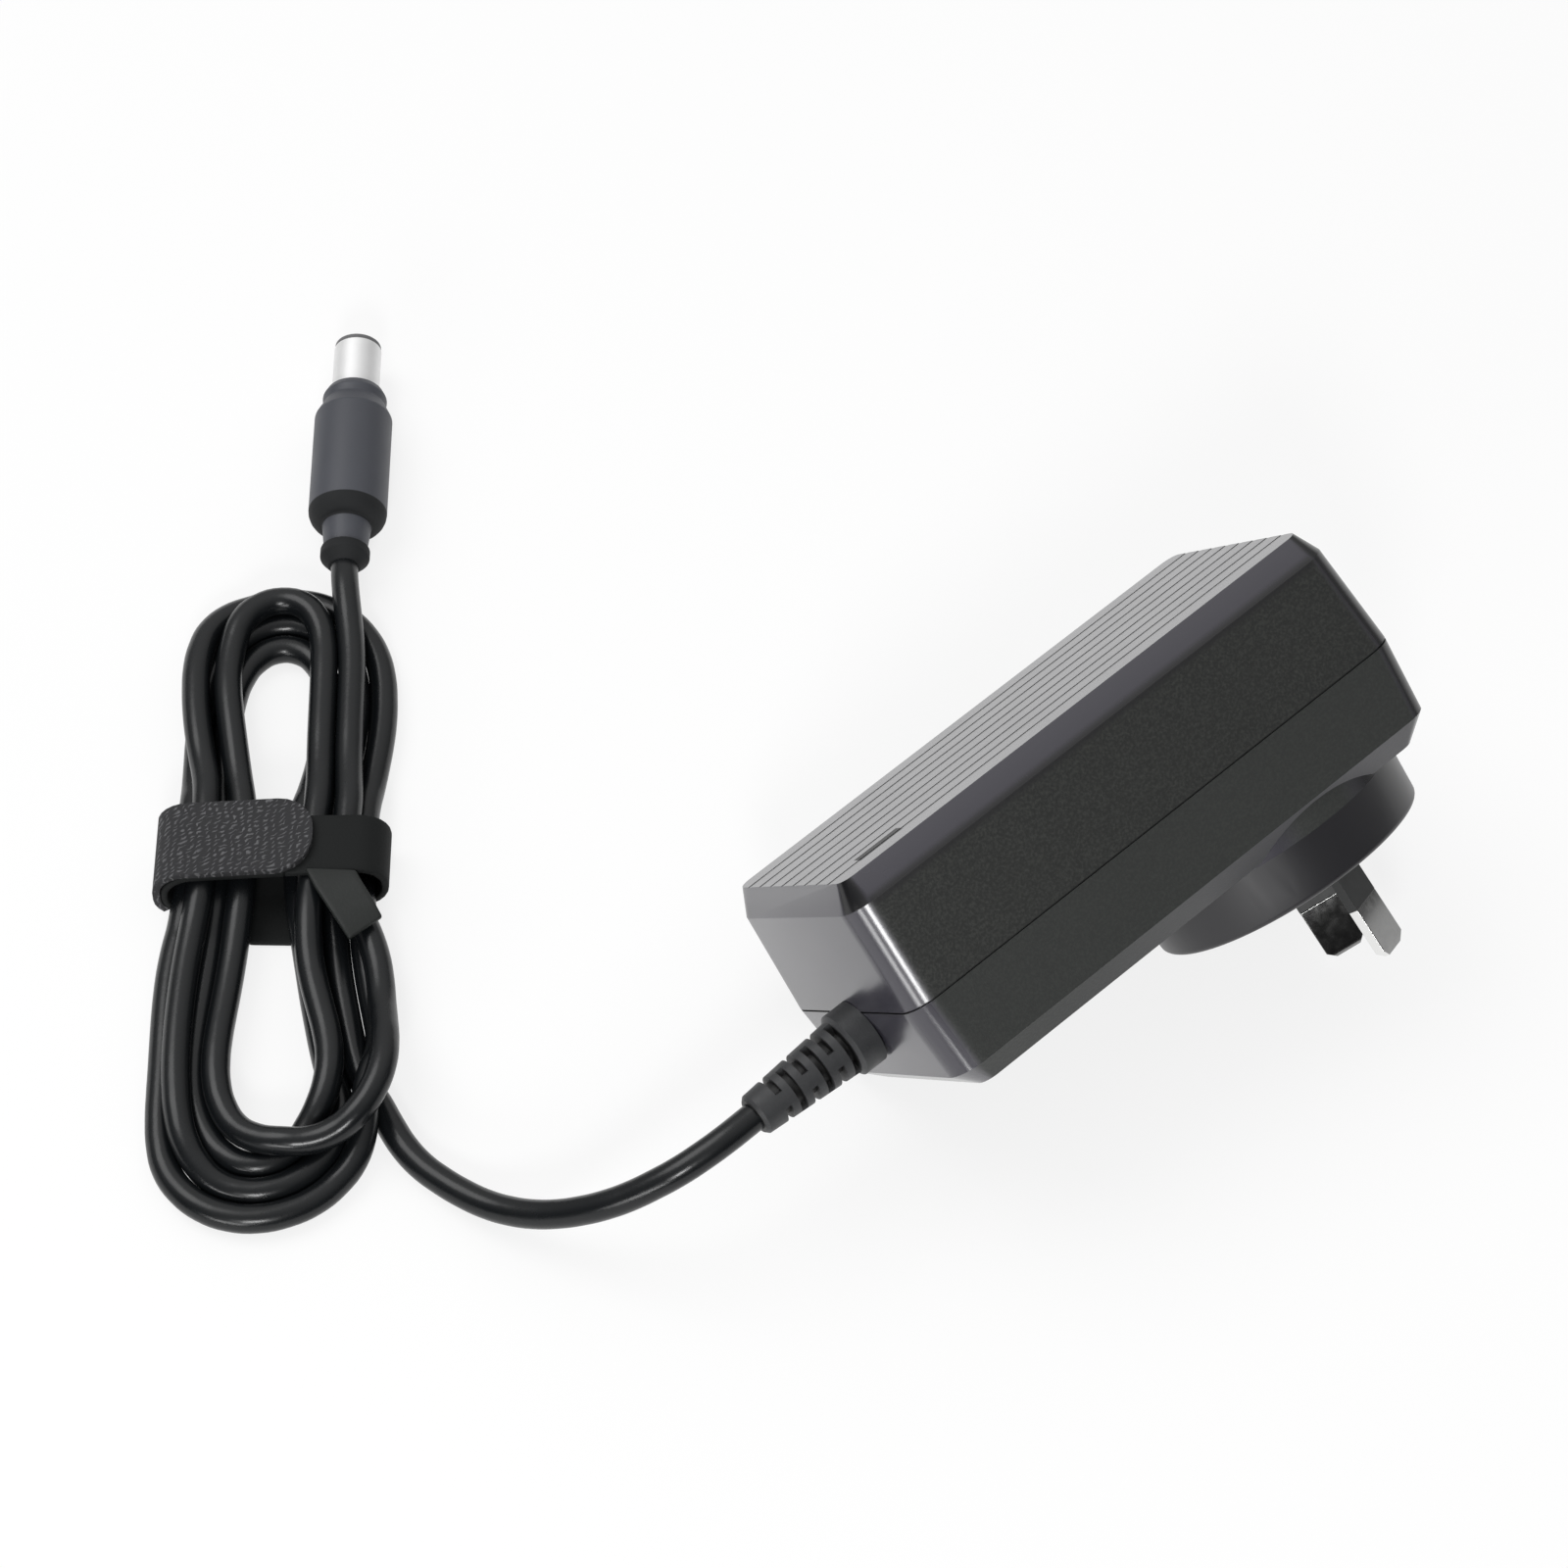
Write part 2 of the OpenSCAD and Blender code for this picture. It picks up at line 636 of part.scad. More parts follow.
module standing_box(l, w, h) translate([-l / 2, -w / 2, 0]) cube([l, w, h]);
module x_capacitor() color([0.85, 0.7, 0.2]) on_board(xcap_x, xcap_y)
    standing_box(xcap_t, xcap_w, xcap_h);
module bridge_rectifier() color([0.12, 0.12, 0.12]) on_board(bridge_x, bridge_y)
    standing_box(bridge_t, bridge_w, bridge_h);
module optocoupler() color([0.9, 0.9, 0.88]) on_board(core_x, opto_y)
    standing_box(opto_l, opto_w, opto_h);
module controller_chip() color([0.1, 0.1, 0.1]) resting()
    translate([chip_x, 0, board_z - chip_h]) standing_box(chip_l, chip_w, chip_h);

// Ring core with two windings, each round a third of it
module choke_core() color([0.2, 0.45, 0.25]) on_board(choke_x, choke_y)
    translate([0, 0, choke_wire]) difference() {
        cylinder(d = choke_d, h = choke_h);
        translate([0, 0, -over]) cylinder(d = choke_bore, h = choke_h + 2 * over);
    }
module choke_winding(turn) color([0.75, 0.4, 0.15]) on_board(choke_x, choke_y)
    rotate([0, 0, turn - 60]) rotate_extrude(angle = 120) difference() {
        translate([choke_bore / 2 - choke_wire, 0])
            square([(choke_d - choke_bore) / 2 + 2 * choke_wire, choke_h + 2 * choke_wire]);
        translate([choke_bore / 2, choke_wire]) square([(choke_d - choke_bore) / 2, choke_h]);
    }
module choke_winding_line() choke_winding(0);
module choke_winding_neutral() choke_winding(180);

module bulk_capacitor() color([0.1, 0.1, 0.3]) on_board(bulk_x, bulk_y)
    cylinder(d = bulk_d, h = bulk_h);
module output_capacitors() color([0.15, 0.35, 0.3])
    for (i = [0, 1]) on_board(out_x, outcap_y - i * (outcap_d + part_gap))
        cylinder(d = outcap_d, h = outcap_h);
module output_choke() color([0.3, 0.3, 0.32]) on_board(out_x, outchoke_y)
    cylinder(d = outchoke_d, h = outchoke_h);

// Heat sink: an upright plate with a screw hole; side is +1 or -1 across the board
module heat_sink(x0, l, hole_x, side) color([0.7, 0.72, 0.74]) resting() difference() {
    translate([x0, side * (sink_y + sink_t / 2) - sink_t / 2, board_top]) cube([l, sink_t, sink_h]);
    translate([hole_x, 0, screw_z]) rotate([-side * 90, 0, 0]) cylinder(r = screw_r, h = case_w);
}
module primary_heat_sink() heat_sink(sink_x0, sink_primary_l, fet_x, 1);
module secondary_heat_sink() heat_sink(out_x - fet_w / 2 - edge_gap, sink_secondary_l, out_x, -1);

// Power transistor: legs, moulded body and a metal tab against the heat sink
module power_transistor(x, side) color([0.15, 0.15, 0.16]) resting()
    translate([x, side * sink_y, board_top]) mirror([0, side > 0 ? 0 : 1, 0]) difference() {
        union() {
            for (i = [-1, 0, 1]) translate([i * fet_w / 4 - feed_r / 2, -fet_t / 2, 0])
                cube([feed_r, feed_r / 2, fet_leg + over]);
            translate([-fet_w / 2, -fet_t, fet_leg]) cube([fet_w, fet_t, fet_body]);
            translate([-fet_w / 2, -fet_tab_t, fet_leg])
                cube([fet_w, fet_tab_t, fet_body + fet_tab]);
        }
        translate([0, over, screw_z - board_top]) rotate([90, 0, 0])
            cylinder(r = screw_r, h = fet_tab_t + 2 * over);
    }
module switching_transistor() power_transistor(fet_x, 1);
module output_rectifier() power_transistor(out_x, -1);

module sink_screw(x, side) resting()
    translate([x, side * (sink_y - fet_tab_t), screw_z]) rotate([-side * 90, 0, 0]) {
        cylinder(r = screw_r, h = fet_tab_t + sink_t);
        translate([0, 0, -screw_r]) cylinder(r = 1.7 * screw_r, h = screw_r);
    }
module heat_sink_screws() color("silver") {
    sink_screw(fet_x, 1);
    sink_screw(out_x, -1);
}

// Half of the transformer's core: back, two outer legs and the middle leg
module core_half() {
    half_h = core_h / 2;
    translate([-core_l / 2, -core_d / 2, 0]) cube([core_l, core_d, core_leg]);
    for (x = [-1, 1])
        translate([x * (core_l - core_leg) / 2 - core_leg / 2, -core_d / 2, 0])
            cube([core_leg, core_d, half_h]);
    cylinder(d = core_mid_d, h = half_h);
}
module transformer_core_lower() color([0.25, 0.25, 0.27]) on_board(core_x, 0) core_half();
module transformer_core_upper() color([0.25, 0.25, 0.27]) on_board(core_x, 0)
    translate([0, 0, core_h]) mirror([0, 0, 1]) core_half();
window_h = core_h - 2 * core_leg;
module transformer_bobbin() color([0.15, 0.15, 0.15]) on_board(core_x, 0)
    translate([0, 0, core_leg]) difference() {
        union() {
            cylinder(r = bobbin_r, h = window_h);
            for (z = [0, window_h - bobbin_wall]) translate([0, 0, z])
                cylinder(r = winding_r, h = bobbin_wall);
        }
        translate([0, 0, -over]) cylinder(d = core_mid_d + 2 * fit, h = window_h + 2 * over);
    }
module transformer_winding() color([0.85, 0.65, 0.1]) on_board(core_x, 0)
    translate([0, 0, core_leg + bobbin_wall]) difference() {
        cylinder(r = winding_r, h = window_h - 2 * bobbin_wall);
        translate([0, 0, -over]) cylinder(r = bobbin_r, h = window_h + 2 * over);
    }

// Lead from the nose of the strain relief down to the board
module output_lead(y) resting() {
    bend = 2 * lead_r + 1;
    start = boot_seat - flange_t - nose_l;
    translate([-start, y, boot_z]) rotate([0, 90, 0])
        cylinder(r = lead_r, h = start + landing_x - bend, $fn = 24);
    translate([landing_x - bend, y, boot_z - bend]) rotate([90, 0, 0])
        rotate_extrude(angle = 90) translate([bend, 0]) circle(lead_r, $fn = 24);
    translate([landing_x, y, board_top])
        cylinder(r = lead_r, h = boot_z - bend - board_top, $fn = 24);
}
lead_pitch = 2 * lead_r + 0.2;
module output_lead_positive() color("red") output_lead(-lead_pitch);
module output_lead_return() color("black") output_lead(lead_pitch);
module output_lead_sense() color("gold") output_lead(0);

module insulating_sheet() color([0.85, 0.85, 0.8]) resting()
    translate([0, 0, ceiling_z - sheet_t / 2])
        cube([2 * (inner_rib[0] - edge_gap), 2 * (inner_rib[1] - edge_gap), sheet_t], center = true);

// Strain relief: ribs on a core, joined by webs that alternate by a quarter turn
module strain_relief() color([0.1, 0.1, 0.11]) resting()
    translate([-case_l / 2, 0, boot_z]) rotate([0, -90, 0]) {
        difference() {
            rotate_extrude() polygon([
                [0, 0], [collar_d / 2, 0], [collar_d / 2, collar_l - rib_core],
                [rib_root_d / 2, collar_l], [rib_tip_d / 2, boot_l - rib_core],
                [rib_tip_d / 2 - rib_core, boot_l], [0, boot_l]
            ]);
            for (i = [0 : rib_n - 1])
                translate([0, 0, collar_l + i * rib_pitch]) rotate([0, 0, i * 90]) difference() {
                    cylinder(d = collar_d + over, h = rib_gap);
                    translate([0, 0, -over]) cylinder(d = cord_d + 2 * rib_core, h = 3 * over + rib_gap);
                    translate([-collar_d, -web_w / 2, -over])
                        cube([2 * collar_d, web_w, 3 * over + rib_gap]);
                }
        }
        seat = case_l / 2 - boot_seat;
        translate([0, 0, -seat]) cylinder(d = neck_d, h = seat + skin);
        translate([0, 0, -seat - flange_t]) cylinder(d = collar_d, h = flange_t);
        translate([0, 0, -seat - flange_t - nose_l]) cylinder(d = neck_d, h = nose_l + skin);
    }

// Outer shape of the hank; the free cord ends on its side
module hank_lobe(x, y, r) hull() {
    translate([x, y]) circle(r, $fn = 48);
    square([tie_w, waist_w], center = true);
}
module hank_outline() {
    hank_lobe(lobe_near_x, 0, lobe_near_r);
    hank_lobe(-lobe_far_x, -1, lobe_far_r);
}
module hank_block() linear_extrude(hank_h) hank_outline();
module cord_tail() color([0.06, 0.06, 0.06]) difference() {
    tube(tail_points, cord_d);
    at_hank() hank_block();
}
module cord_lead() color([0.06, 0.06, 0.06]) at_hank() difference() {
    tube(lead_points, cord_d);
    hank_block();
}

// Cross-section of the hank inside the tie
module waist_section(grow)
    for (y = [-1, 1], z = [-1, 1])
        translate([y * (waist_w / 2 - tie_r), (hank_h + tie_t) / 2 + z * ((hank_h - tie_t) / 2 - tie_r)])
            circle(tie_r + grow);
module hole_2d(h) hull() for (c = h) translate([c[0], c[1]]) circle(c[2], $fn = 24);
module along_tie(l) rotate([90, 0, 90]) linear_extrude(l, center = true) children();

module cord_hank() color([0.06, 0.06, 0.06]) at_hank() difference() {
    linear_extrude(hank_h) difference() {
        hank_outline();
        hole_2d(hole_near);
        hole_2d(hole_far);
    }
    // the tie's seat round the waist
    along_tie(tie_w) difference() {
        square([3 * waist_w, 3 * hank_h], center = true);
        hull() waist_section(0);
    }
}

module cable_tie() color([0.13, 0.13, 0.14]) at_hank() {
    along_tie(tie_w) difference() {
        hull() waist_section(tie_t);
        hull() waist_section(0);
    }
    // loose end, lying on the hank
    translate([-tie_w / 2, -tab_y, hank_h]) rotate([0, 0, 180 + 25])
        translate([-1, 0, 0]) cube([tab_l + 1, tab_w, tie_t]);
}

// The connector lies on its grip, its barrel away from the hank
module at_plug() at_hank() translate([plug_x, -plug_y, plug_r]) rotate([0, -90, 0]) children();

module plug_body() color([0.32, 0.33, 0.36]) at_plug() difference() {
    back = barrel_l + grip_l;
    neck_r = plug_neck_d / 2;
    end = back + plug_neck_l;
    rotate_extrude() polygon(concat(
        [[0, barrel_l], [nose_tip_d / 2, barrel_l], [nose_ring_d / 2, barrel_l + plug_nose_l / 4],
         [nose_ring_d / 2 - cuff_step, barrel_l + plug_nose_l / 2], [plug_r, barrel_l + plug_nose_l],
         [plug_r, back]],
        [for (a = [0 : 15 : 90]) [
            neck_r + (plug_r - neck_r) * cos(a), back + grip_round * sin(a)
        ]],
        [[neck_r - 2 * cuff_step, end - cuff_l], [neck_r, end - cuff_l],
         [neck_r, end - cuff_l / 2], [cord_d / 2 + cuff_step, end], [0, end]]));
    translate([0, 0, barrel_l - over]) cylinder(d = seat_d, h = barrel_seat + over);
}
module plug_barrel() color([0.85, 0.86, 0.87]) at_plug() difference() {
    union() {
        translate([0, 0, rim_h]) cylinder(d = barrel_d, h = barrel_l - rim_h);
        translate([0, 0, barrel_l - skin]) cylinder(d = seat_d, h = barrel_seat + skin);
    }
    cylinder(d = barrel_d - 2 * barrel_wall, h = barrel_l + barrel_seat + over);
}
module plug_insulator() color([0.06, 0.06, 0.06]) at_plug() difference() {
    union() {
        cylinder(d = barrel_d - 2 * fit, h = rim_h);
        cylinder(d = barrel_d - 2 * barrel_wall, h = barrel_l + barrel_seat);
    }
    translate([0, 0, -over])
        cylinder(d = barrel_d - 2 * (barrel_wall + insulator_wall), h = barrel_l + over);
}
module plug_contact() color([0.85, 0.75, 0.45]) at_plug() difference() {
    outer = barrel_d - 2 * (barrel_wall + insulator_wall);
    translate([0, 0, rim_h]) cylinder(d = outer, h = barrel_l - rim_h);
    cylinder(d = outer - 2 * contact_wall, h = barrel_l + over);
}
module plug_pin() color([0.85, 0.75, 0.45]) at_plug()
    translate([0, 0, barrel_l - pin_l]) cylinder(d = pin_d, h = pin_l, $fn = 24);

bottom_shell();
top_shell();
blade_line();
blade_neutral();
sleeve_line();
sleeve_neutral();
blade_retainer();
feed_line();
feed_neutral();
circuit_board();
fuse();
varistor();
inrush_limiter();
x_capacitor();
choke_core();
choke_winding_line();
choke_winding_neutral();
bridge_rectifier();
bulk_capacitor();
primary_heat_sink();
switching_transistor();
transformer_core_lower();
transformer_core_upper();
transformer_bobbin();
transformer_winding();
y_capacitor();
optocoupler();
controller_chip();
secondary_heat_sink();
output_rectifier();
heat_sink_screws();
output_capacitors();
output_choke();
output_lead_positive();
output_lead_return();
output_lead_sense();
insulating_sheet();
strain_relief();
cord_tail();
cord_hank();
cord_lead();
cable_tie();
plug_body();
plug_barrel();
plug_insulator();
plug_contact();
plug_pin();
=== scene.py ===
import json
import math
import bmesh
import bpy
import numpy as np
from mathutils import Matrix, Vector


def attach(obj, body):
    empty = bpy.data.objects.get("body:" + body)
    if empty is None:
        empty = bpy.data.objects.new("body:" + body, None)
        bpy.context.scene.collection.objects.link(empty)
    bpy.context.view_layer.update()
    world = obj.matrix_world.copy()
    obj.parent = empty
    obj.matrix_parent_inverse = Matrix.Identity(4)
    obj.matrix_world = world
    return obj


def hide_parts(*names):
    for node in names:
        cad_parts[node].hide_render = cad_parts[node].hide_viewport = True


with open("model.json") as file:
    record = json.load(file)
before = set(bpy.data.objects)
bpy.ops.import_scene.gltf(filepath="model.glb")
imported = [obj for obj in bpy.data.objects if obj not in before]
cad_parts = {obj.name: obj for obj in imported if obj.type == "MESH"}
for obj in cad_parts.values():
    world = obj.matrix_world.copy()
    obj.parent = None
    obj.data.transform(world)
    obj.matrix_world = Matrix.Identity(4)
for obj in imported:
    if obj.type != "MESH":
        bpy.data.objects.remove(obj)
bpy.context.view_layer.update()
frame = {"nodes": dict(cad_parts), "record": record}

mm = 0.001
nodes = frame["nodes"]


def say(words):
    print("adapter:", words)


def added(name, data):
    # a new object in the scene
    thing = bpy.data.objects.new(name, data)
    bpy.context.scene.collection.objects.link(thing)
    return thing


def aimed(place, aim):
    # stands at place and looks at aim
    look = (aim - place).to_track_quat("-Z", "Y").to_matrix().to_4x4()
    return Matrix.Translation(place) @ look


shot = {
    "place": (-276.9, -228.1, 579.9),     # in mm, like the aim
    "aim": (-25.1, 42.0, 20.0),
    "roll": 2.95,                         # degrees
    "lens": 106.33,
    "film": 36,
    "near": 0.01,                         # where its view starts, in metres
}


def addCamera():
    data = bpy.data.cameras.new("camera")
    data.lens = shot["lens"]
    data.sensor_width = shot["film"]
    data.clip_start = shot["near"]
    camera = added("camera", data)
    turn = Matrix.Rotation(math.radians(shot["roll"]), 4, "Z")
    camera.matrix_world = aimed(Vector(shot["place"]) * mm, Vector(shot["aim"]) * mm) @ turn
    bpy.context.scene.camera = camera


addCamera()
say("camera")


class Wire:
    # one output socket; arithmetic on it adds Math nodes
    def __init__(self, graph, socket):
        self.graph = graph
        self.socket = socket

    def math(self, kind, *terms):
        return self.graph.node("ShaderNodeMath", {"operation": kind}, dict(enumerate(terms)))

    def __add__(self, other):
        return self.math("ADD", self, other)

    def __sub__(self, other):
        return self.math("SUBTRACT", self, other)

    def __rsub__(self, other):
        return self.math("SUBTRACT", other, self)

    def __mul__(self, other):
        return self.math("MULTIPLY", self, other)

    def __truediv__(self, other):
        return self.math("DIVIDE", self, other)

    def __rtruediv__(self, other):
        return self.math("DIVIDE", other, self)

    def __pow__(self, other):
        return self.math("POWER", self, other)

    def __rpow__(self, other):
        return self.math("POWER", other, self)

    def __lt__(self, other):
        return self.math("LESS_THAN", self, other)

    def __gt__(self, other):
        return self.math("GREATER_THAN", self, other)

    def __abs__(self):
        return self.math("ABSOLUTE", self)

    def __or__(self, other):
        return self.math("MAXIMUM", self, other)

    def sine(self):
        return self.math("SINE", self)

    __radd__ = __add__
    __rmul__ = __mul__
    __ror__ = __or__


class Graph:
    # a node tree, and the one method that adds nodes to it
    def __init__(self, tree):
        self.tree = tree

    def feed(self, target, value):
        if isinstance(value, Wire):
            self.tree.links.new(value.socket, target)
        elif target.type == "RGBA" and len(value) == 3:
            target.default_value = (*value, 1)
        else:
            target.default_value = value

    def node(self, kind, settings=None, sockets=None, out=0):
        # gives the node's output, or the node itself where it has none
        new = self.tree.nodes.new(kind)
        for key, value in (settings or {}).items():
            if key == "stops":
                self.stops(new.color_ramp.elements, value)
            else:
                setattr(new, key, value)
        for key, value in (sockets or {}).items():
            self.feed(new.inputs[key], value)
        return Wire(self, new.outputs[out]) if len(new.outputs) else new

    def stops(self, ramp, values):
        while len(ramp) < len(values):
            ramp.new(0.5)
        for stop, (at, shade) in zip(ramp, values):
            stop.position = at
            stop.color = (shade, shade, shade, 1)

    def ramp(self, value, stops):
        return self.node("ShaderNodeValToRGB", {"stops": stops}, {0: value})

    def dot(self, place, axis):
        return self.node("ShaderNodeVectorMath", {"operation": "DOT_PRODUCT"},
                         {0: place, 1: tuple(axis)}, out="Value")

    def ease(self, value, span, at=0):
        # 0 at the span's first number and 1 at its second, both counted from at
        return self.node("ShaderNodeMapRange", {"interpolation_type": "SMOOTHSTEP"}, {
            "Value": value, "From Min": at + span[0], "From Max": at + span[1]})


class Finish(Graph):
    # one material: a Principled shader and the piece's own coordinates
    def __init__(self, name, colour, roughness, **fixed):
        self.material = bpy.data.materials.new(name)
        self.material.use_nodes = True
        super().__init__(self.material.node_tree)
        self.tree.nodes.clear()
        self.shader = self.node("ShaderNodeBsdfPrincipled")
        self.end = self.node("ShaderNodeOutputMaterial", None, {"Surface": self.shader})
        self.set("Base Color", colour)
        self.set("Roughness", roughness)
        for socket, value in fixed.items():
            self.set(socket.replace("_", " "), value)
        self.place = self.node("ShaderNodeTexCoord", out="Object")
        self.normal = self.node("ShaderNodeTexCoord", out="Normal")

    def set(self, socket, value):
        self.feed(self.shader.socket.node.inputs[socket], value)

    def offset(self, axis, origin):
        # how far along an axis the surface lies from a point
        return self.dot(self.place, axis) - origin.dot(axis)

    def noise(self, size, detail, rough=0.5, place=None):
        # soft noise with features about size metres across
        return self.node("ShaderNodeTexNoise", None, {
            "Vector": place or self.place, "Scale": 1 / size, "Detail": detail, "Roughness": rough})

    def blend(self, factor, one, two):
        return self.node("ShaderNodeMix", {"data_type": "RGBA"}, {0: factor, 6: one, 7: two}, out=2)

    def bump(self, height, depth):
        self.set("Normal", self.node("ShaderNodeBump", None, {"Height": height, "Distance": depth}))

    def dress(self, *pieces):
        for piece in pieces:
            worn = piece.data.materials
            if len(worn):
                worn[0] = self.material
            else:
                worn.append(self.material)


# The case's own axes: along it, across it and up to its ribbed face
face = next(m for m in frame["record"]["mounts"] if m["name"] == "plug_face")
caseUp = -Vector(face["axis"])
caseAlong = Vector((caseUp.z, 0, -caseUp.x)).normalized()
caseAcross = caseUp.cross(caseAlong)
case = {
    "length": 90 * mm,
    "height": 34.5 * mm,
    "band": 4 * mm,             # height of the smooth band round the ribbed face
    "joint": 15 * mm,           # where the two shells meet
    "boss": 8.5 * mm,           # height of the round plug boss
    "bossX": 21.7 * mm,         # its middle, along the case
    "bootAxis": 11.7 * mm,      # height of the cord's way out
    "groove": 0.6 * mm,         # depth of the ribbed face's grooves in the solid
    "line": 0.06 * mm,          # and their depth here
    "near": 0.02 * mm,          # how near to that depth a point of their floors lies
    "lean": 0.483,              # how far the band leans in at the ends, per mm up
}
caseOrigin = Vector(face["pos_m"]) + case["boss"] * caseUp - case["bossX"] * caseAlong


def inCase(x, y, z):
    return caseOrigin + x * caseAlong + y * caseAcross + z * caseUp


cord = {
    # in mm; the tail's points are the same as in the part's source
    "diameter": 4.2,
    "tail": [(-78, 3.5, 18.6), (-85.5, 7.5, 13.6), (-91.5, 14, 8), (-95.5, 21.5, 4.2),
             (-98, 30, 2.5), (-99, 38, 2.2), (-97.5, 47, 2.2)],
    "bootTip": -65.0,
    "inside": 3,                # how far it reaches into the boot, and into the plug
    "straight": 1.5,            # diameters that it runs straight out of the boot
    "step": 2.0,                # between two points of the laid cord
    "spanParts": 12,            # parts of each span of the layout, before the even steps
    "tailHeld": 58,             # length of the tail that settling leaves as it is
    "plugHeld": 4,              # and the points at the plug
    "perKnot": 2,               # points for each knot of the curve
    "knotParts": 4,             # parts of the curve between two knots
    "roundness": 7,
}
hank = {
    "place": (-83.0, 88.5),     # the middle of the tie, in mm
    "turn": 49.5,               # degrees
    "tieHalf": 6.75,            # half of the tie's width
    "tieMargin": 0.5,           # how far past its edges it still holds the strands
    "tieThick": 1.4,            # room for the strap under the strands
    "waist": 14.8,              # half of the room across the tie
    "height": 9.2,              # and the room from the floor to its top
    "slack": 0.1,               # play above the strands
    "head": (-8, 7.5, 6, 1.1),  # the strap's head: middle, half length, half width, thickness
    "plugBack": 49.8,           # where the cord goes into the plug
    "plugSide": 7.5,
    "plugAxis": 6.05,
}
# The layout, in mm from the middle of the tie: (along, right, height). The entry leads from the
# tail to the tie, each half turn starts and ends in its slot in the tie, whose (right, height)
# are given, and the lead goes to the plug
entry = [(-38, 14.9, 2.1), (-28, 11.7, 2.1), (-18, 9.8, 2.4), (-9, 8.9, 3.0)]
slots = [(8.7, 3.5), (-12.2, 3.5), (12.9, 3.5), (-10.1, 7.1), (4.2, 3.5),
         (-8.0, 3.5), (5.2, 7.4), (-5.9, 7.1), (9.4, 7.1)]
# A half turn's fold is an arc from its last point out to its first point back, over a tip that is
# (along, height). Where it gives a "round", 1 makes a true ellipse and less makes fuller shoulders
halfTurns = [
    {"out": [(9, 9.0, 2.8), (18, 9.8, 2.1), (29, 10.2, 2.1)],
     "tip": (41.6, 2.1),
     "back": [(28, -12.4, 2.1), (18, -12.6, 2.1), (9, -12.3, 2.8)]},
    {"out": [(-9, -12.0, 2.6), (-18, -13.2, 2.1), (-30, -13.7, 2.1), (-42, -13.3, 2.1)],
     "tip": (-60.4, 2.1), "round": 0.95,
     "back": [(-53, 9.3, 2.6), (-48, 13.3, 4.5), (-42, 15.5, 6.2), (-34, 15.7, 5.0),
              (-27, 15.4, 3.0), (-17, 13.9, 2.1), (-8, 13.0, 2.9)]},
    {"out": [(9, 13.1, 2.6), (18, 13.8, 2.1), (28, 13.8, 2.1)],
     "tip": (45.8, 2.1),
     "back": [(28, -12.9, 5.9), (18, -12.6, 6.3), (9, -11.2, 6.8)]},
    {"out": [(-10, -11.0, 6.6), (-20, -12.2, 6.0), (-30, -12.4, 6.2), (-40, -11.8, 6.2)],
     "tip": (-56.1, 2.1), "round": 0.95,
     "back": [(-44, 11.6, 2.1), (-34, 9.9, 2.1), (-26, 7.5, 2.1), (-17, 5.7, 2.2),
              (-8, 4.6, 2.9)]},
    {"out": [(9, 4.8, 2.8), (18, 5.8, 2.1), (27.5, 6.2, 2.1)],
     "tip": (37.4, 2.1),
     "back": [(27.5, -8.5, 2.1), (17, -8.3, 2.1), (9, -8.0, 2.8)]},
    {"out": [(-12, -8.6, 2.6), (-24, -9.4, 2.1), (-37, -9.2, 2.1)],
     "tip": (-52.0, 2.1), "round": 0.75,
     "back": [(-47.5, 9.4, 4.2), (-43.5, 10.4, 5.8), (-37.5, 10.0, 6.3), (-30, 8.3, 6.4),
              (-23, 6.6, 6.4), (-16, 5.4, 6.4), (-8, 4.8, 7.2)]},
    {"out": [(9, 5.3, 7.0), (18, 5.7, 6.4), (26, 5.8, 6.3), (34, 5.0, 6.2)],
     "tip": (43.8, 6.0),
     "back": [(34, -8.2, 6.2), (26, -8.4, 6.2), (18, -7.8, 6.2), (9, -6.4, 6.9)]},
    {"out": [(-9, -4.9, 6.9), (-17, -4.9, 6.4), (-25, -5.9, 6.0), (-31, -6.9, 5.9),
             (-37, -7.3, 5.9)],
     "tip": (-50.2, 5.8), "round": 0.92,
     "back": [(-41, 16.8, 10.0), (-34, 17.0, 9.0), (-25, 16.3, 7.0), (-15, 14.2, 6.4),
              (-8, 11.3, 7.0)]},
]
lead = [(10, 9.6, 7.3), (20, 9.9, 7.2), (30, 9.6, 7.8), (38, 8.9, 8.6), (44, 8.1, 7.6)]
folds = {
    "parts": 8,
    "round": 0.85,
    "climb": 0.6,               # how soon a fold takes its tip's height: the less, the later
}


def toHank(x, y, z):
    a = math.radians(hank["turn"])
    dx, dy = x - hank["place"][0], y - hank["place"][1]
    return (dx * math.cos(a) + dy * math.sin(a), dy * math.cos(a) - dx * math.sin(a), z)


hankFrame = (Matrix.Translation((hank["place"][0] * mm, hank["place"][1] * mm, 0))
             @ Matrix.Rotation(math.radians(hank["turn"]), 4, "Z") @ Matrix.Scale(mm, 4))


def hankAxis(k):
    return (hankFrame.col[k].to_3d() / mm).normalized()


def fold(half):
    # the points round a fold, between its two sides
    (endA, sideA, highA), (endB, sideB, highB) = half["out"][-1], half["back"][0]
    tip, high = half["tip"]
    points = []
    for k in range(1, folds["parts"]):
        f = k / folds["parts"]
        start = endA + (endB - endA) * f
        reach = math.sin(math.pi * f) ** half.get("round", folds["round"])
        flank = highA if f < 0.5 else highB
        points.append((start + (tip - start) * reach,
                       (sideA + sideB) / 2 + (sideA - sideB) / 2 * math.cos(math.pi * f),
                       high + (flank - high) * abs(2 * f - 1) ** folds["climb"]))
    return points


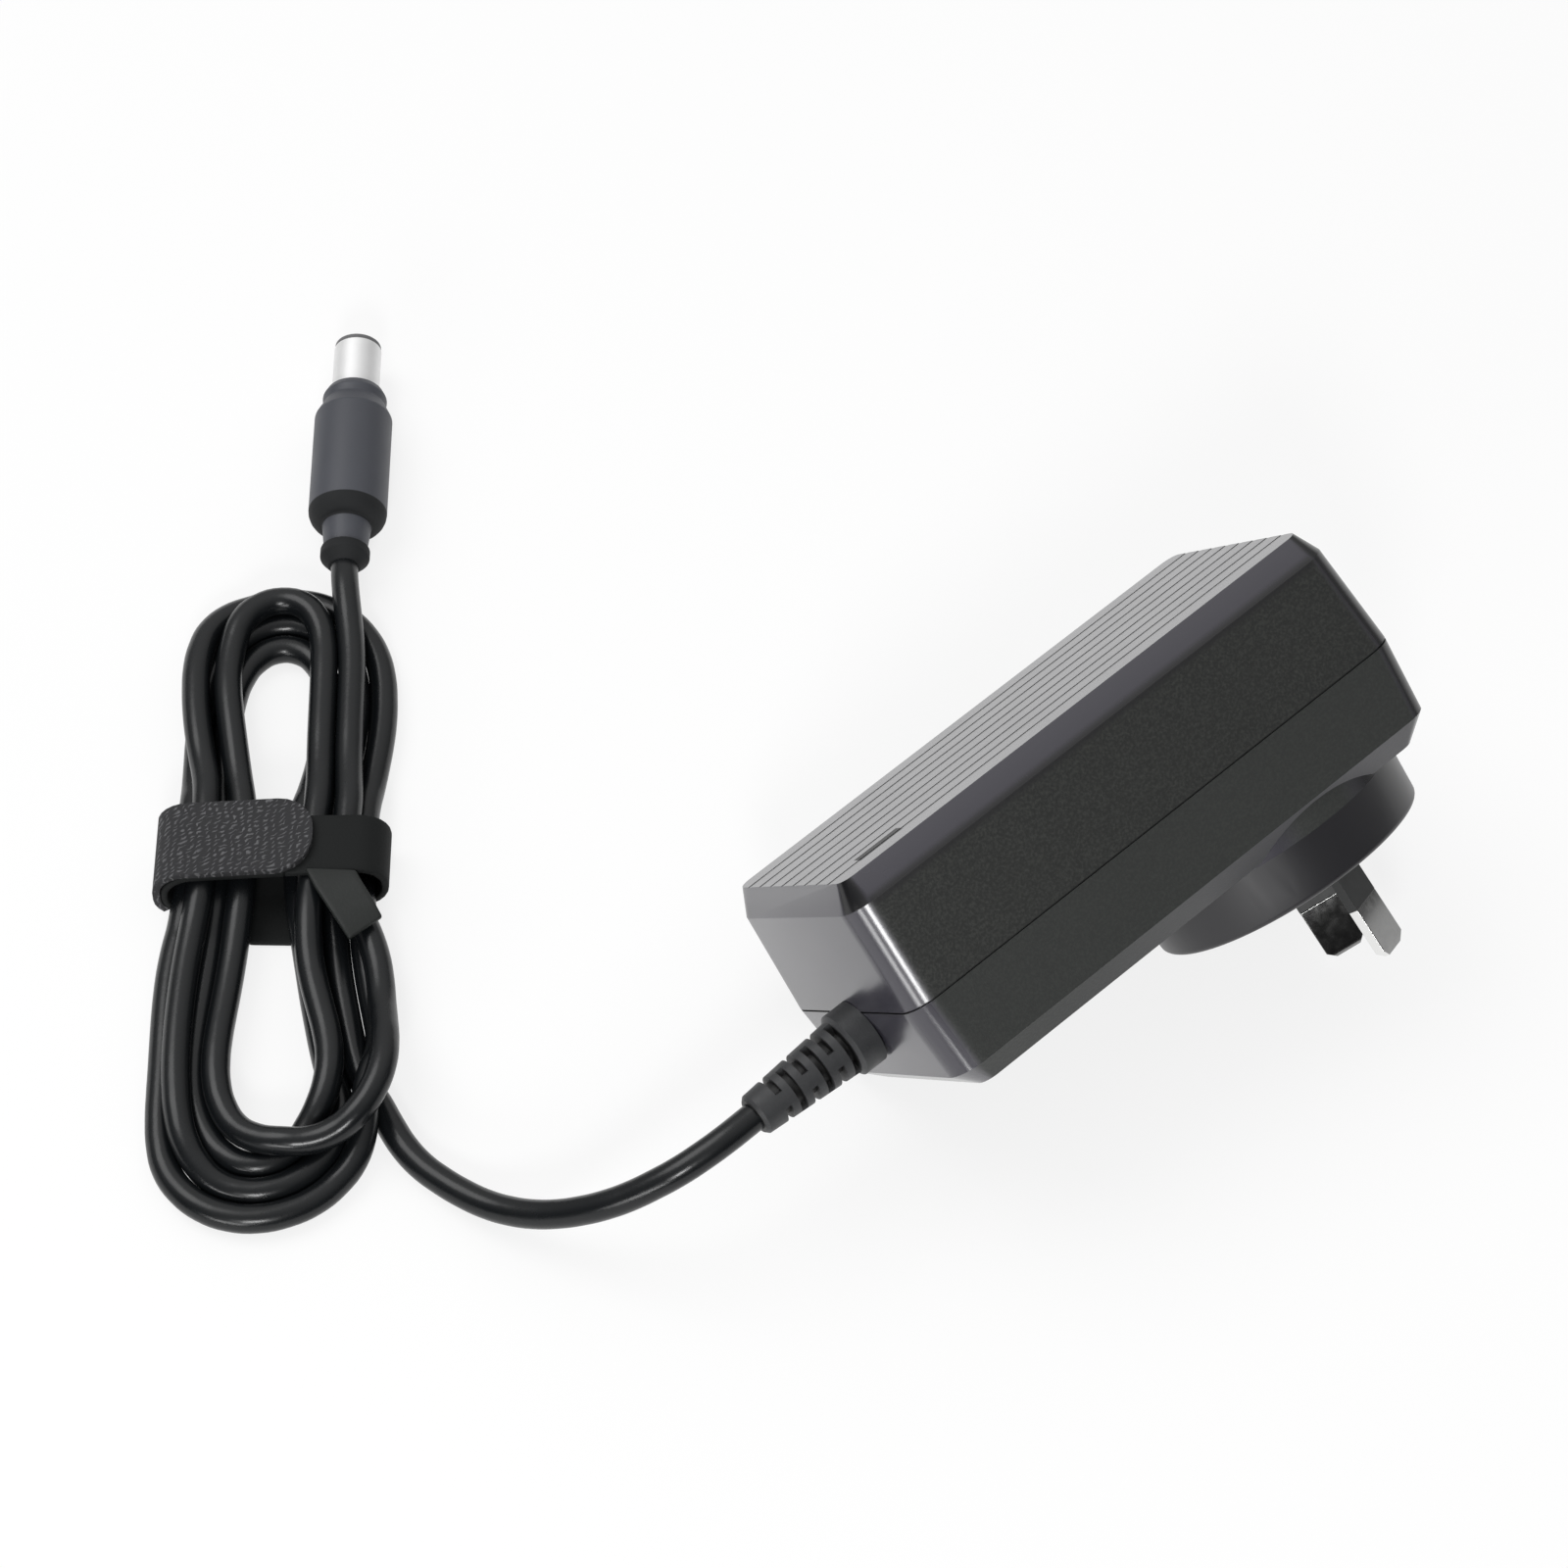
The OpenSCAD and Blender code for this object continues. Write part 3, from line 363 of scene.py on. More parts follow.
def evenly(points, step):
    # resamples a Catmull-Rom curve through the points at even steps
    p = np.array(points, float)
    p = np.vstack([2 * p[0] - p[1], p, 2 * p[-1] - p[-2]])
    t = np.linspace(0, 1, cord["spanParts"], endpoint=False)[:, None]
    spans = []
    for a, b, c, d in zip(p, p[1:], p[2:], p[3:]):
        spans.append(0.5 * (2 * b + (c - a) * t + (2 * a - 5 * b + 4 * c - d) * t ** 2
                            + (3 * b - a - 3 * c + d) * t ** 3))
    fine = np.vstack(spans + [p[-2:-1]])
    run = np.concatenate([[0], np.cumsum(np.linalg.norm(np.diff(fine, axis=0), axis=1))])
    where = np.linspace(0, run[-1], int(round(run[-1] / step)) + 1)
    return np.stack([np.interp(where, run, fine[:, k]) for k in range(3)], axis=1)


# How the cord settles, in rounds; the later ones leave it freer and make it stiffer
settling = {
    "rounds": 460,
    "lateFrom": 0.6,            # the share of the rounds after which it is late
    "early": (0.03, 0.07),      # shares of the way back to the layout, and to an even bend
    "late": (0.008, 0.11),
    "sink": 0.02,               # mm that a point falls in a round
    "spring": 0.5,              # share of a stretch that is taken back
    "clear": 1.005,             # diameters that strands keep between their middles
    "push": 0.35,               # share of what is missing that each of two points moves
    "pushes": 2,                # in each round
    "search": 8,                # rounds from one search for close strands to the next
    "watch": 2.0,               # strands with a gap under this count as close, in mm
    "apart": 5,                 # points this near along the cord never push each other
    "least": 1e-6,              # stands in for a gap of zero
}


def pushApart(x, free, one, two):
    # moves the strands apart where two points are too close
    clear = cord["diameter"] * settling["clear"]
    off = x[one] - x[two]
    gap = np.linalg.norm(off, axis=1, keepdims=True)
    missing = np.clip(clear - gap, 0, None)
    push = missing / np.maximum(gap, settling["least"]) * off * settling["push"]
    move = np.zeros_like(x)
    np.add.at(move, one, push)
    np.add.at(move, two, -push)
    count = np.zeros(len(x))
    hit = (gap[:, 0] < clear).astype(float)
    np.add.at(count, one, hit)
    np.add.at(count, two, hit)
    move /= np.maximum(count, 1)[:, None] ** 0.5
    x[free] += move[free]


def keepIn(x, free):
    # keeps the strands inside the tie, on top of its head and above the floor
    r = cord["diameter"] / 2
    tied = free & (np.abs(x[:, 0]) < hank["tieHalf"] + hank["tieMargin"])
    inner = hank["waist"] - r
    x[tied, 1] = np.clip(x[tied, 1], -inner, inner)
    x[tied, 2] = np.clip(x[tied, 2], r + hank["tieThick"], hank["height"] - r + hank["slack"])
    middle, halfLong, halfWide, thick = hank["head"]
    overHead = (np.abs(x[:, 0] - middle) < halfLong) & (np.abs(x[:, 1]) < halfWide)
    low = np.where(overHead, r + thick, r)
    x[free, 2] = np.maximum(x[:, 2], low)[free]


def settle(line, fixedStart, fixedEnd):
    # lets the strands press each other apart and sink onto the floor
    x = line.copy()
    free = np.ones(len(x), bool)
    free[:fixedStart] = False
    free[len(x) - fixedEnd:] = False
    rest = np.linalg.norm(np.diff(x, axis=0), axis=1).mean()
    order = np.arange(len(x))
    apart = np.abs(order[:, None] - order[None, :]) > settling["apart"]
    for step in range(settling["rounds"]):
        late = step > settling["rounds"] * settling["lateFrom"]
        hold, even = settling["late" if late else "early"]
        x[free, 2] -= settling["sink"]
        x[free] += hold * (line - x)[free]
        bend = np.zeros_like(x)
        bend[1:-1] = x[:-2] + x[2:] - 2 * x[1:-1]
        uneven = np.zeros_like(x)
        uneven[2:-2] = bend[1:-3] + bend[3:-1] - 2 * bend[2:-2]
        x[free] -= even * uneven[free]
        part = np.diff(x, axis=0)
        long = np.linalg.norm(part, axis=1, keepdims=True)
        pull = settling["spring"] * (long - rest) / long * part
        move = np.zeros_like(x)
        move[:-1] += pull / 2
        move[1:] -= pull / 2
        x[free] += move[free]
        if step % settling["search"] == 0:
            gap = np.linalg.norm(x[:, None] - x[None, :], axis=2)
            close = gap < cord["diameter"] + settling["watch"]
            one, two = np.nonzero(np.triu(close & apart))
        for _ in range(settling["pushes"]):
            pushApart(x, free, one, two)
        keepIn(x, free)
    return x


def layCord():
    tip = inCase(cord["bootTip"] * mm, 0, case["bootAxis"]) / mm
    out = -caseAlong
    straight = cord["straight"] * cord["diameter"]
    tail = [tip - cord["inside"] * out, tip, tip + straight * out] + cord["tail"]
    wound = list(entry)
    for slot, half in zip(slots, halfTurns):
        wound += [(0, *slot)] + half["out"] + fold(half) + half["back"]
    back, side, axis = hank["plugBack"], hank["plugSide"], hank["plugAxis"]
    wound += [(0, *slots[-1])] + lead + [(back, side, axis), (back + cord["inside"], side, axis)]
    points = [toHank(*p) for p in tail] + [(along, -right, high) for along, right, high in wound]
    line = evenly(points, cord["step"])
    return settle(line, int(cord["tailHeld"] / cord["step"]), cord["plugHeld"])


def addCord():
    line = layCord()
    run = np.linalg.norm(np.diff(line, axis=0), axis=1).sum()
    say(f"cord {run:.0f} mm long, {line[:, 2].max():.1f} mm high")
    data = bpy.data.curves.new("cord", "CURVE")
    data.dimensions = "3D"
    data.bevel_depth = 1
    data.bevel_resolution = cord["roundness"]
    data.resolution_u = cord["knotParts"]
    data.use_fill_caps = True
    spline = data.splines.new("BEZIER")
    kept = line[::cord["perKnot"]]
    spline.bezier_points.add(len(kept) - 1)
    for knot, point in zip(spline.bezier_points, kept):
        knot.co = hankFrame @ Vector(point)
        knot.radius = cord["diameter"] / 2 * mm
        knot.handle_left_type = knot.handle_right_type = "AUTO"
    piece = added("cord", data)
    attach(piece, "root")
    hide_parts("cord_tail", "cord_hank", "cord_lead")
    return piece, run * mm


cordPiece, cordLength = addCord()

# How wide each piece's edges are rounded, in mm
edges = {"shell": 0.35, "blade": 0.12, "sleeve": 0.08, "boot": 0.2, "grip": 0.3, "barrel": 0.08,
         "rim": 0.1}
rounding = {
    "segments": 3,
    "angle": 30,                # an edge sharper than this is rounded, in degrees
    "gripAngle": 18,
    "flat": 0.6,                # faces that meet flatter than this become one
    "merge": 1e-6,              # points closer than this become one, in metres
}


def softened(name, node, width, angle=rounding["angle"]):
    # a copy of a CAD piece with its edges rounded
    piece = added(name, nodes[node].data.copy())
    mesh = piece.data
    normals = mesh.attributes.get("custom_normal")
    if normals:
        mesh.attributes.remove(normals)
    work = bmesh.new()
    work.from_mesh(mesh)
    bmesh.ops.remove_doubles(work, verts=work.verts, dist=rounding["merge"])
    bmesh.ops.dissolve_limit(work, angle_limit=math.radians(rounding["flat"]),
                             verts=work.verts, edges=work.edges)
    work.to_mesh(mesh)
    work.free()
    mesh.shade_smooth()
    mesh.set_sharp_from_angle(angle=math.radians(angle))
    soft = piece.modifiers.new("edges", "BEVEL")
    soft.width = width * mm
    soft.segments = rounding["segments"]
    soft.limit_method = "ANGLE"
    soft.angle_limit = math.radians(angle)
    soft.harden_normals = True
    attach(piece, "root")
    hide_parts(node)
    return piece


def fillGrooves(shell):
    # brings the floors of the grooves up to a fine line's depth, along the slope of the end bands
    for v in shell.data.vertices:
        place = v.co - caseOrigin
        if abs(case["height"] - case["groove"] - place.dot(caseUp)) < case["near"]:
            inward = math.copysign(case["lean"], -place.dot(caseAlong))
            v.co += (case["groove"] - case["line"]) * (caseUp + inward * caseAlong)


bottomShell = softened("bottomShell", "bottom_shell", edges["shell"])
topShell = softened("topShell", "top_shell", edges["shell"])
fillGrooves(topShell)
blades = [softened("bladeLine", "blade_line", edges["blade"]),
          softened("bladeNeutral", "blade_neutral", edges["blade"])]
sleeves = [softened("sleeveLine", "sleeve_line", edges["sleeve"]),
           softened("sleeveNeutral", "sleeve_neutral", edges["sleeve"])]
boot = softened("strainRelief", "strain_relief", edges["boot"])
grip = softened("plugBody", "plug_body", edges["grip"], angle=rounding["gripAngle"])
barrel = softened("plugBarrel", "plug_barrel", edges["barrel"])
rim = softened("plugInsulator", "plug_insulator", edges["rim"])
say("case, plug and connector")

tie = {
    # in mm, in the hank's frame
    "left": 16.2, "right": 16.9,      # outer reach of the strap to each side of the hank
    "near": 4.4, "far": -8.0,         # edges of the outer layer along the hank, at its middle
    "under": 2.0,                     # near edge of the inner layer
    "lean": 0.08, "leanFrom": -4,     # how far both layers lean over, per mm across from there
    "innerLean": 0.5,                 # share of that for the near edge of the inner layer
    "thick": 1.1, "tabThick": 0.9, "headThick": 1.0,
    "top": 9.7,
    "seam": -2.0,                     # where the inner layer starts and ends, across the hank
    "round": 4.2,                     # radius of the strap's bends
    "bend": 15,                       # degrees between two rows of a bend
    "lapEnd": -5.8,                   # where the outer layer ends, across the hank
    "lapRound": 5.4,                  # radius of that rounded end
    "lapWay": (0.1, 0.4, 0.7),        # rows from there to the first bend, as shares of the way
    "lapRows": 11,                    # rows from the first bend on
    "parts": 8,                       # faces across the strap
    "edge": 0.3, "edgeSegments": 2, "edgeAngle": 50,
    # the loose end, as rows of its two sides (along, across, height)
    "tab": [((-7.2, -4.9, 10.1), (-7.4, -12.3, 10.1)), ((-10.5, -6.6, 10.1), (-9.4, -13.4, 10.0)),
            ((-14.6, -9.2, 9.9), (-12.2, -15.1, 9.7)), ((-18.8, -11.9, 9.5), (-14.8, -16.5, 9.3))],
    # its slotted head, flat under the strands
    "head": [((-6.0, -4.4, 0.6), (-6.0, 4.4, 0.6)), ((-10, -4.4, 0.6), (-10, 4.4, 0.6)),
             ((-13.2, -4.2, 0.6), (-13.2, 4.2, 0.6)), ((-14.4, -3.2, 0.6), (-14.4, 3.2, 0.6))],
}


def strip(name, rows, thick):
    # a flat piece with rounded edges through rows of points in the hank's frame
    parts = tie["parts"]
    work = bmesh.new()
    grid = []
    for one, two in rows:
        one, two = Vector(one), Vector(two)
        grid.append([work.verts.new(hankFrame @ one.lerp(two, j / parts))
                     for j in range(parts + 1)])
    for a, b in zip(grid, grid[1:]):
        for j in range(parts):
            work.faces.new((a[j], a[j + 1], b[j + 1], b[j]))
    bmesh.ops.recalc_face_normals(work, faces=work.faces)
    mesh = bpy.data.meshes.new(name)
    work.to_mesh(mesh)
    work.free()
    piece = added(name, mesh)
    solid = piece.modifiers.new("thickness", "SOLIDIFY")
    solid.thickness = thick * mm
    solid.offset = 0
    soft = piece.modifiers.new("edges", "BEVEL")
    soft.width = tie["edge"] * mm
    soft.segments = tie["edgeSegments"]
    soft.limit_method = "ANGLE"
    soft.angle_limit = math.radians(tie["edgeAngle"])
    mesh.shade_smooth()
    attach(piece, "root")
    return piece


def aroundHank(grow):
    # rounded box round the hank's waist, from the left side of its top down, under it and back up
    inset = tie["thick"] / 2
    left, right = tie["left"] - inset + grow, tie["right"] - inset + grow
    low, high = inset, tie["top"] + grow
    r = tie["round"]
    corners = [(left - r, high - r, 90), (left - r, low + r, 0),
               (-right + r, low + r, 270), (-right + r, high - r, 180)]
    points = []
    for y, z, start in corners:
        for a in range(start, start - 91, -tie["bend"]):
            t = math.radians(a)
            points.append((y + r * math.cos(t), z + r * math.sin(t)))
    return points


def addTie():
    def row(y, z, far, near, share=1):
        lean = tie["lean"] * (y - tie["leanFrom"])
        return ((far - lean, y, z), (near - lean * share, y, z))

    seam = (tie["seam"], tie["top"])
    loop = [seam] + aroundHank(0) + [seam]
    rows = [row(y, z, tie["far"], tie["under"], tie["innerLean"]) for y, z in loop]
    base = strip("strapUnder", rows, tie["thick"])
    high = tie["top"] + tie["thick"]
    rows = []
    for a in range(0, 91, tie["bend"]):
        t = math.radians(a)
        keep = tie["lapRound"] * (1 - math.sin(t))
        y = tie["lapEnd"] + tie["lapRound"] * (1 - math.cos(t))
        rows.append(row(y, high, tie["far"] + keep, tie["near"] - keep))
    wrapped = aroundHank(tie["thick"])[:tie["lapRows"]]
    wrapped = [(f * wrapped[0][0], high) for f in tie["lapWay"]] + wrapped
    rows += [row(y, z, tie["far"], tie["near"]) for y, z in wrapped]
    return base, strip("strapOver", rows, tie["thick"])


strapUnder, strapOver = addTie()
strapTab = strip("strapTab", tie["tab"], tie["tabThick"])
strapHead = strip("strapHead", tie["head"], tie["headThick"])
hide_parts("cable_tie")
say("tie")

plastic = {
    "dark": (0.008, 0.009, 0.008), "spark": (0.025, 0.027, 0.024),    # the textured sides
    "lower": (0.03, 0.033, 0.031), "lowerShare": 0.5,                 # the sides below the joint
    "smooth": (0.037, 0.035, 0.046),                # the ribbed face, the band and the ends
    "bevel": (0.075, 0.075, 0.08),                  # painted reflection on the rounding under the sides
    "edge": (0.3, 0.3, 0.3), "edgeShare": 0.7,      # painted highlight along the line where the rounding starts
    "creaseShade": (0.005, 0.005, 0.006),                # painted shade: grooves, corners, the slot and the line under the band
    "bossShare": 0.85, "grooveShare": 0.9,          # how much of that painted shade the boss, under the case, and the grooves take
    "slotShade": (-32.8, -14.6, 3.8, 1.25),              # painted shade of a short slot by the ribs: middle, half sizes, mm
    "markFrom": 34 * mm,                            # height where it starts
    "bossTo": -0.3 * mm, "bevelTo": 6 * mm,         # heights where the boss and the rounding end
    "edgeSide": 0.9,                                # how squarely the line looks to the side
    "grain": 0.4 * mm, "grainRough": 0.6, "sparks": ((0.42, 0.0), (0.68, 1.0)),
    "fineParts": 3, "fineShare": 0.4,               # a finer grain over it
    "depth": 0.045 * mm,
    "cloud": 14 * mm, "uneven": 0.1,
    "rough": 0.5, "satin": 0.2,                     # roughness of the sides and the smooth parts
    "bossRough": 0.16, "markRough": 0.25,           # what the boss and the painted slot add to it
    "coat": 0.53, "coatRough": 0.18,
    "bossDull": 0.75, "endDull": 0.2, "endBandDull": 0.6,             # what they take off the coat
    "refraction": 1.55,
}
# Where each zone of the case eases in
zones = {
    # how squarely the surface looks to an end
    "ends": (0.15, 0.4), "flatEnd": (0.9, 0.98), "corner": (0.2, 0.45),
    # to a side, and up
    "cornerSide": (0.1, 0.3), "bevel": (0.95, 0.85), "edge": (0.05, 0.02), "top": (0.96, 0.99),
    # its height, from the band's foot, the joint and the ribbed face
    "band": (-0.15 * mm, 0.1 * mm), "creaseShade": (1.3 * mm, 0.1 * mm),
    "lower": (0.1 * mm, -0.1 * mm), "groove": (-0.02 * mm, -0.05 * mm),
    # its place along the case, and from the painted slot's rim, in mm
    "edgeEnd": (5, -20), "bevelEnd": (-40, 30), "slotShade": (0.15, -0.1),
}


def casePlastic():
    look = Finish("casePlastic", plastic["dark"], plastic["rough"],
                  IOR=plastic["refraction"], Coat_Roughness=plastic["coatRough"])
    height = look.offset(caseUp, caseOrigin)
    out = look.offset(caseAlong, caseOrigin) / mm
    side = look.offset(caseAcross, caseOrigin) / mm
    endward = look.dot(look.normal, caseAlong)
    sideward = abs(look.dot(look.normal, caseAcross))

    # the smooth parts: the ribbed face with its band, the ends with their corners, and the boss
    foot = case["height"] - case["band"]
    band = look.ease(height, zones["band"], foot)
    ends = look.ease(abs(endward), zones["ends"])
    flatEnd = look.ease(abs(endward), zones["flatEnd"])
    boss = height < plastic["bossTo"]
    smooth = band | ends | boss
    # painted shade on the rounded corners where the band meets the ends, and on the rounded corners
    # of the end away from the cord
    bent = (1 - flatEnd) * look.ease(sideward, zones["cornerSide"])
    corner = bent * (band * ends | look.ease(endward, zones["corner"]) * (1 - boss))

    # painted shade in the line under the band, the sides below the joint, and a painted reflection
    # on the rounding under them, with a painted highlight line along its top
    creaseShade = look.ease(abs(height - foot), zones["creaseShade"]) * (1 - ends)
    lower = look.ease(height, zones["lower"], case["joint"])
    under = (height < plastic["bevelTo"]) * (1 - boss) * (1 - ends)
    bevel = look.ease(sideward, zones["bevel"]) * under
    edge = (look.ease(abs(sideward - plastic["edgeSide"]), zones["edge"]) * under
            * look.ease(out, zones["edgeEnd"]))

    # painted shade of a short slot by the ribs, and painted shade on the floors of the grooves
    x, y, halfX, halfY = plastic["slotShade"]
    slotShade = (look.ease(abs(out - x), zones["slotShade"], halfX)
            * look.ease(abs(side - y), zones["slotShade"], halfY) * (height > plastic["markFrom"]))
    top = look.ease(look.dot(look.normal, caseUp), zones["top"])
    groove = top * look.ease(height, zones["groove"], case["height"]) * band

    grain = look.noise(plastic["grain"], 2, plastic["grainRough"])
    fine = look.noise(plastic["grain"] / plastic["fineParts"], 1)
    cloud = look.noise(plastic["cloud"], 2)
    sides = look.blend(look.ramp(grain, plastic["sparks"]), plastic["dark"], plastic["spark"])
    sides = look.blend(lower * plastic["lowerShare"], sides, plastic["lower"])
    # the boss, under the case, takes most of the painted shade colour
    glossy = look.blend(boss * plastic["bossShare"], plastic["smooth"], plastic["creaseShade"])
    shell = look.blend(smooth, sides, glossy)
    # painted reflection on the rounding under the sides, growing away from the cord's end
    shell = look.blend(bevel * look.ease(out, zones["bevelEnd"]), shell, plastic["bevel"])
    # painted highlight line along the top of that rounding, near the cord's end
    shell = look.blend(edge * plastic["edgeShare"], shell, plastic["edge"])
    # painted shade: the line under the band, the corners, the slot and the groove floors take the
    # dark colour
    paintedShade = creaseShade | corner | slotShade | groove * plastic["grooveShare"]
    look.set("Base Color", look.blend(paintedShade, shell, plastic["creaseShade"]))
    look.set("Roughness", plastic["rough"] + plastic["uneven"] * cloud
             - (plastic["rough"] - plastic["satin"]) * smooth
             + plastic["bossRough"] * boss + plastic["markRough"] * slotShade)
    look.set("Coat Weight", plastic["coat"] * smooth * (1 - plastic["bossDull"] * boss)
             * (1 - (plastic["endDull"] + plastic["endBandDull"] * band) * flatEnd)
             * (1 - (corner | slotShade)))
    look.bump((grain + plastic["fineShare"] * fine) * (1 - smooth), plastic["depth"])
    return look


# In this look and those below, the roughness goes from gloss up to gloss plus wear
jacket = {
    "colour": (0.006, 0.007, 0.008), "level": 0.4,
    "gloss": 0.19, "wear": 0.16, "wearSize": 6 * mm,
    "grain": 1.2 * mm, "depth": 0.02 * mm,
}


def cordJacket():
    look = Finish("cordJacket", jacket["colour"], jacket["gloss"],
                  Specular_IOR_Level=jacket["level"])
    look.set("Roughness", jacket["gloss"] + jacket["wear"] * look.noise(jacket["wearSize"], 3))
    look.bump(look.noise(jacket["grain"], 2), jacket["depth"])
    return look


bootLook = {
    # groove: painted shade on the floors of the boot's grooves
    "rib": (0.03, 0.031, 0.033), "groove": (0.002, 0.002, 0.002),
    "long": 20.0, "collar": 4.0,      # the whole boot, and its plain start, in mm
    "root": 4.3, "tip": 3.2,          # radius at both ends of its ribs, in mm
    "floor": (0.25, 0.7),             # depth over which a rib's colour turns into the painted groove shade, in mm
    "gloss": 0.4, "wear": 0.2, "wearSize": 2 * mm,
    "grain": 0.3 * mm, "depth": 0.03 * mm, "cloudShare": 2,
}


def bootRubber():
    # painted shade: the floors of its grooves are darker
    look = Finish("bootRubber", bootLook["rib"], bootLook["gloss"])
    out = look.offset(-caseAlong, caseOrigin) / mm - case["length"] / 2 / mm
    y = look.offset(caseAcross, caseOrigin) / mm
    z = (look.offset(caseUp, caseOrigin) - case["bootAxis"]) / mm
    taper = (bootLook["root"] - bootLook["tip"]) / (bootLook["long"] - bootLook["collar"])
    depth = bootLook["root"] - (out - bootLook["collar"]) * taper - (y * y + z * z) ** 0.5
    cloud = look.noise(bootLook["wearSize"], 2)
    floor = look.ease(depth, bootLook["floor"])
    look.set("Base Color", look.blend(floor, bootLook["rib"], bootLook["groove"]))
    look.set("Roughness", bootLook["gloss"] + bootLook["wear"] * cloud)
    look.bump(look.noise(bootLook["grain"], 2) + bootLook["cloudShare"] * cloud, bootLook["depth"])
    return look


gripLook = {
    # dark: painted shade for the rounding behind the grip and the ring at the end of its neck
    "body": (0.05, 0.053, 0.064), "bright": 1.2, "dark": (0.004, 0.005, 0.006),
    "neck": 57.4, "back": 60.0,       # the painted shade on the rounding is between these, in mm along the hank
    "ring": 53.1,                     # and the painted shade of the ring is before this
    "neckEase": (-0.2, 0), "backEase": (0.3, 0), "ringEase": (0.2, 0),
    "gloss": 0.42, "wear": 0.14, "darkRough": 0.3, "wearSize": 5 * mm,
    "grain": 0.25 * mm, "depth": 0.015 * mm,
}


def gripPlastic():
    # painted shade: the rounding behind the grip and the ring at the end of the neck are darker
    look = Finish("gripPlastic", gripLook["body"], gripLook["gloss"])
    along = look.offset(hankAxis(0), hankFrame.translation) / mm
    back = (look.ease(along, gripLook["backEase"], gripLook["back"])
            * look.ease(along, gripLook["neckEase"], gripLook["neck"]))
    dark = back | look.ease(along, gripLook["ringEase"], gripLook["ring"])
    cloud = look.noise(gripLook["wearSize"], 3)
    bright = tuple(gripLook["bright"] * c for c in gripLook["body"])
    body = look.blend(cloud, gripLook["body"], bright)
    look.set("Base Color", look.blend(dark, body, gripLook["dark"]))
    look.set("Roughness", gripLook["gloss"] + gripLook["wear"] * cloud
             + gripLook["darkRough"] * dark)
    look.bump(look.noise(gripLook["grain"], 2), gripLook["depth"])
    return look


strapWeave = {
    "ground": (0.032, 0.032, 0.034), "thread": (0.13, 0.13, 0.136),
    "rough": 0.8, "level": 0.25,
    "pitch": 0.8 * mm, "slant": 0.75,                # between threads, and their slant
    "row": 1.2 * mm, "rowShare": 0.7,                # between rows, and how much they count
    "stray": 14, "straySize": 1.1 * mm,              # how far threads and rows wander
    "rowStray": 12, "rowStraySize": 2.2 * mm,
    "threadEdge": (0.2, 1.5),
    "bare": 0.45, "full": 0.9, "wornSize": 3 * mm,   # least brightness, and what is added to it
    "strayShare": 0.5, "depth": 0.12 * mm,
}


def strapCloth():
    # short slanting threads in staggered rows over a dark ground
    look = Finish("strapCloth", strapWeave["ground"], strapWeave["rough"],
                  Specular_IOR_Level=strapWeave["level"])
    along = look.dot(look.place, hankAxis(0))
    across = look.dot(look.place, hankAxis(1))
    stray = look.noise(strapWeave["straySize"], 2)
    slant = ((across * strapWeave["slant"] + along) * (2 * math.pi / strapWeave["pitch"])
             + strapWeave["stray"] * stray)
    row = (across * (2 * math.pi / strapWeave["row"])
           + strapWeave["rowStray"] * look.noise(strapWeave["rowStraySize"], 2)).sine()
    thread = look.ease(slant.sine() + strapWeave["rowShare"] * row, strapWeave["threadEdge"])
    worn = strapWeave["bare"] + strapWeave["full"] * look.noise(strapWeave["wornSize"], 2)
    look.set("Base Color", look.blend(thread * worn, strapWeave["ground"], strapWeave["thread"]))
    look.bump(thread + strapWeave["strayShare"] * stray, strapWeave["depth"])
    return look


strapBack = {
    "colour": (0.007, 0.008, 0.008), "rough": 0.75, "level": 0.25,
    "grain": 0.4 * mm, "depth": 0.03 * mm,
}


def strapSmooth():
    look = Finish("strapSmooth", strapBack["colour"], strapBack["rough"],
                  Specular_IOR_Level=strapBack["level"])
    look.bump(look.noise(strapBack["grain"], 2), strapBack["depth"])
    return look


tabLook = {
    "colour": (0.013, 0.015, 0.014), "level": 0.35,
    "gloss": 0.42, "wear": 0.2, "wearSize": 2.5 * mm,
    "grain": 0.5 * mm, "depth": 0.03 * mm,
}


def tabPlastic():
    look = Finish("tabPlastic", tabLook["colour"], tabLook["gloss"],
                  Specular_IOR_Level=tabLook["level"])
    look.set("Roughness", tabLook["gloss"] + tabLook["wear"] * look.noise(tabLook["wearSize"], 3))
    look.bump(look.noise(tabLook["grain"], 2), tabLook["depth"])
    return look


sleeveLook = {"colour": (0.014, 0.015, 0.015), "gloss": 0.42, "wear": 0.15, "wearSize": 1.5 * mm}


def sleevePlastic():
    look = Finish("sleevePlastic", sleeveLook["colour"], sleeveLook["gloss"])
    wear = sleeveLook["wear"] * look.noise(sleeveLook["wearSize"], 2)
    look.set("Roughness", sleeveLook["gloss"] + wear)
    return look


mould = {
    "dim": 0.8, "bright": 1.15,       # how its clouds change the colour
    "cloud": 6,                       # their size, in grains
    "uneven": 0.16, "depth": 0.02 * mm,
}
rimLook = {"colour": (0.13, 0.13, 0.135), "rough": 0.5, "grain": 0.3}


def moulded(name, colour, rough, grain):
    # plain moulded, dipped or potted material: cloudy, unevenly glossy, with a grain in mm
    look = Finish(name, colour, rough)
    cloud = look.noise(mould["cloud"] * grain * mm, 3)
    dim = tuple(mould["dim"] * c for c in colour)
    bright = tuple(min(mould["bright"] * c, 1) for c in colour)
    look.set("Base Color", look.blend(cloud, dim, bright))
    look.set("Roughness", rough - mould["uneven"] / 2 + mould["uneven"] * cloud)
    look.bump(look.noise(grain * mm, 2), mould["depth"])
    return look


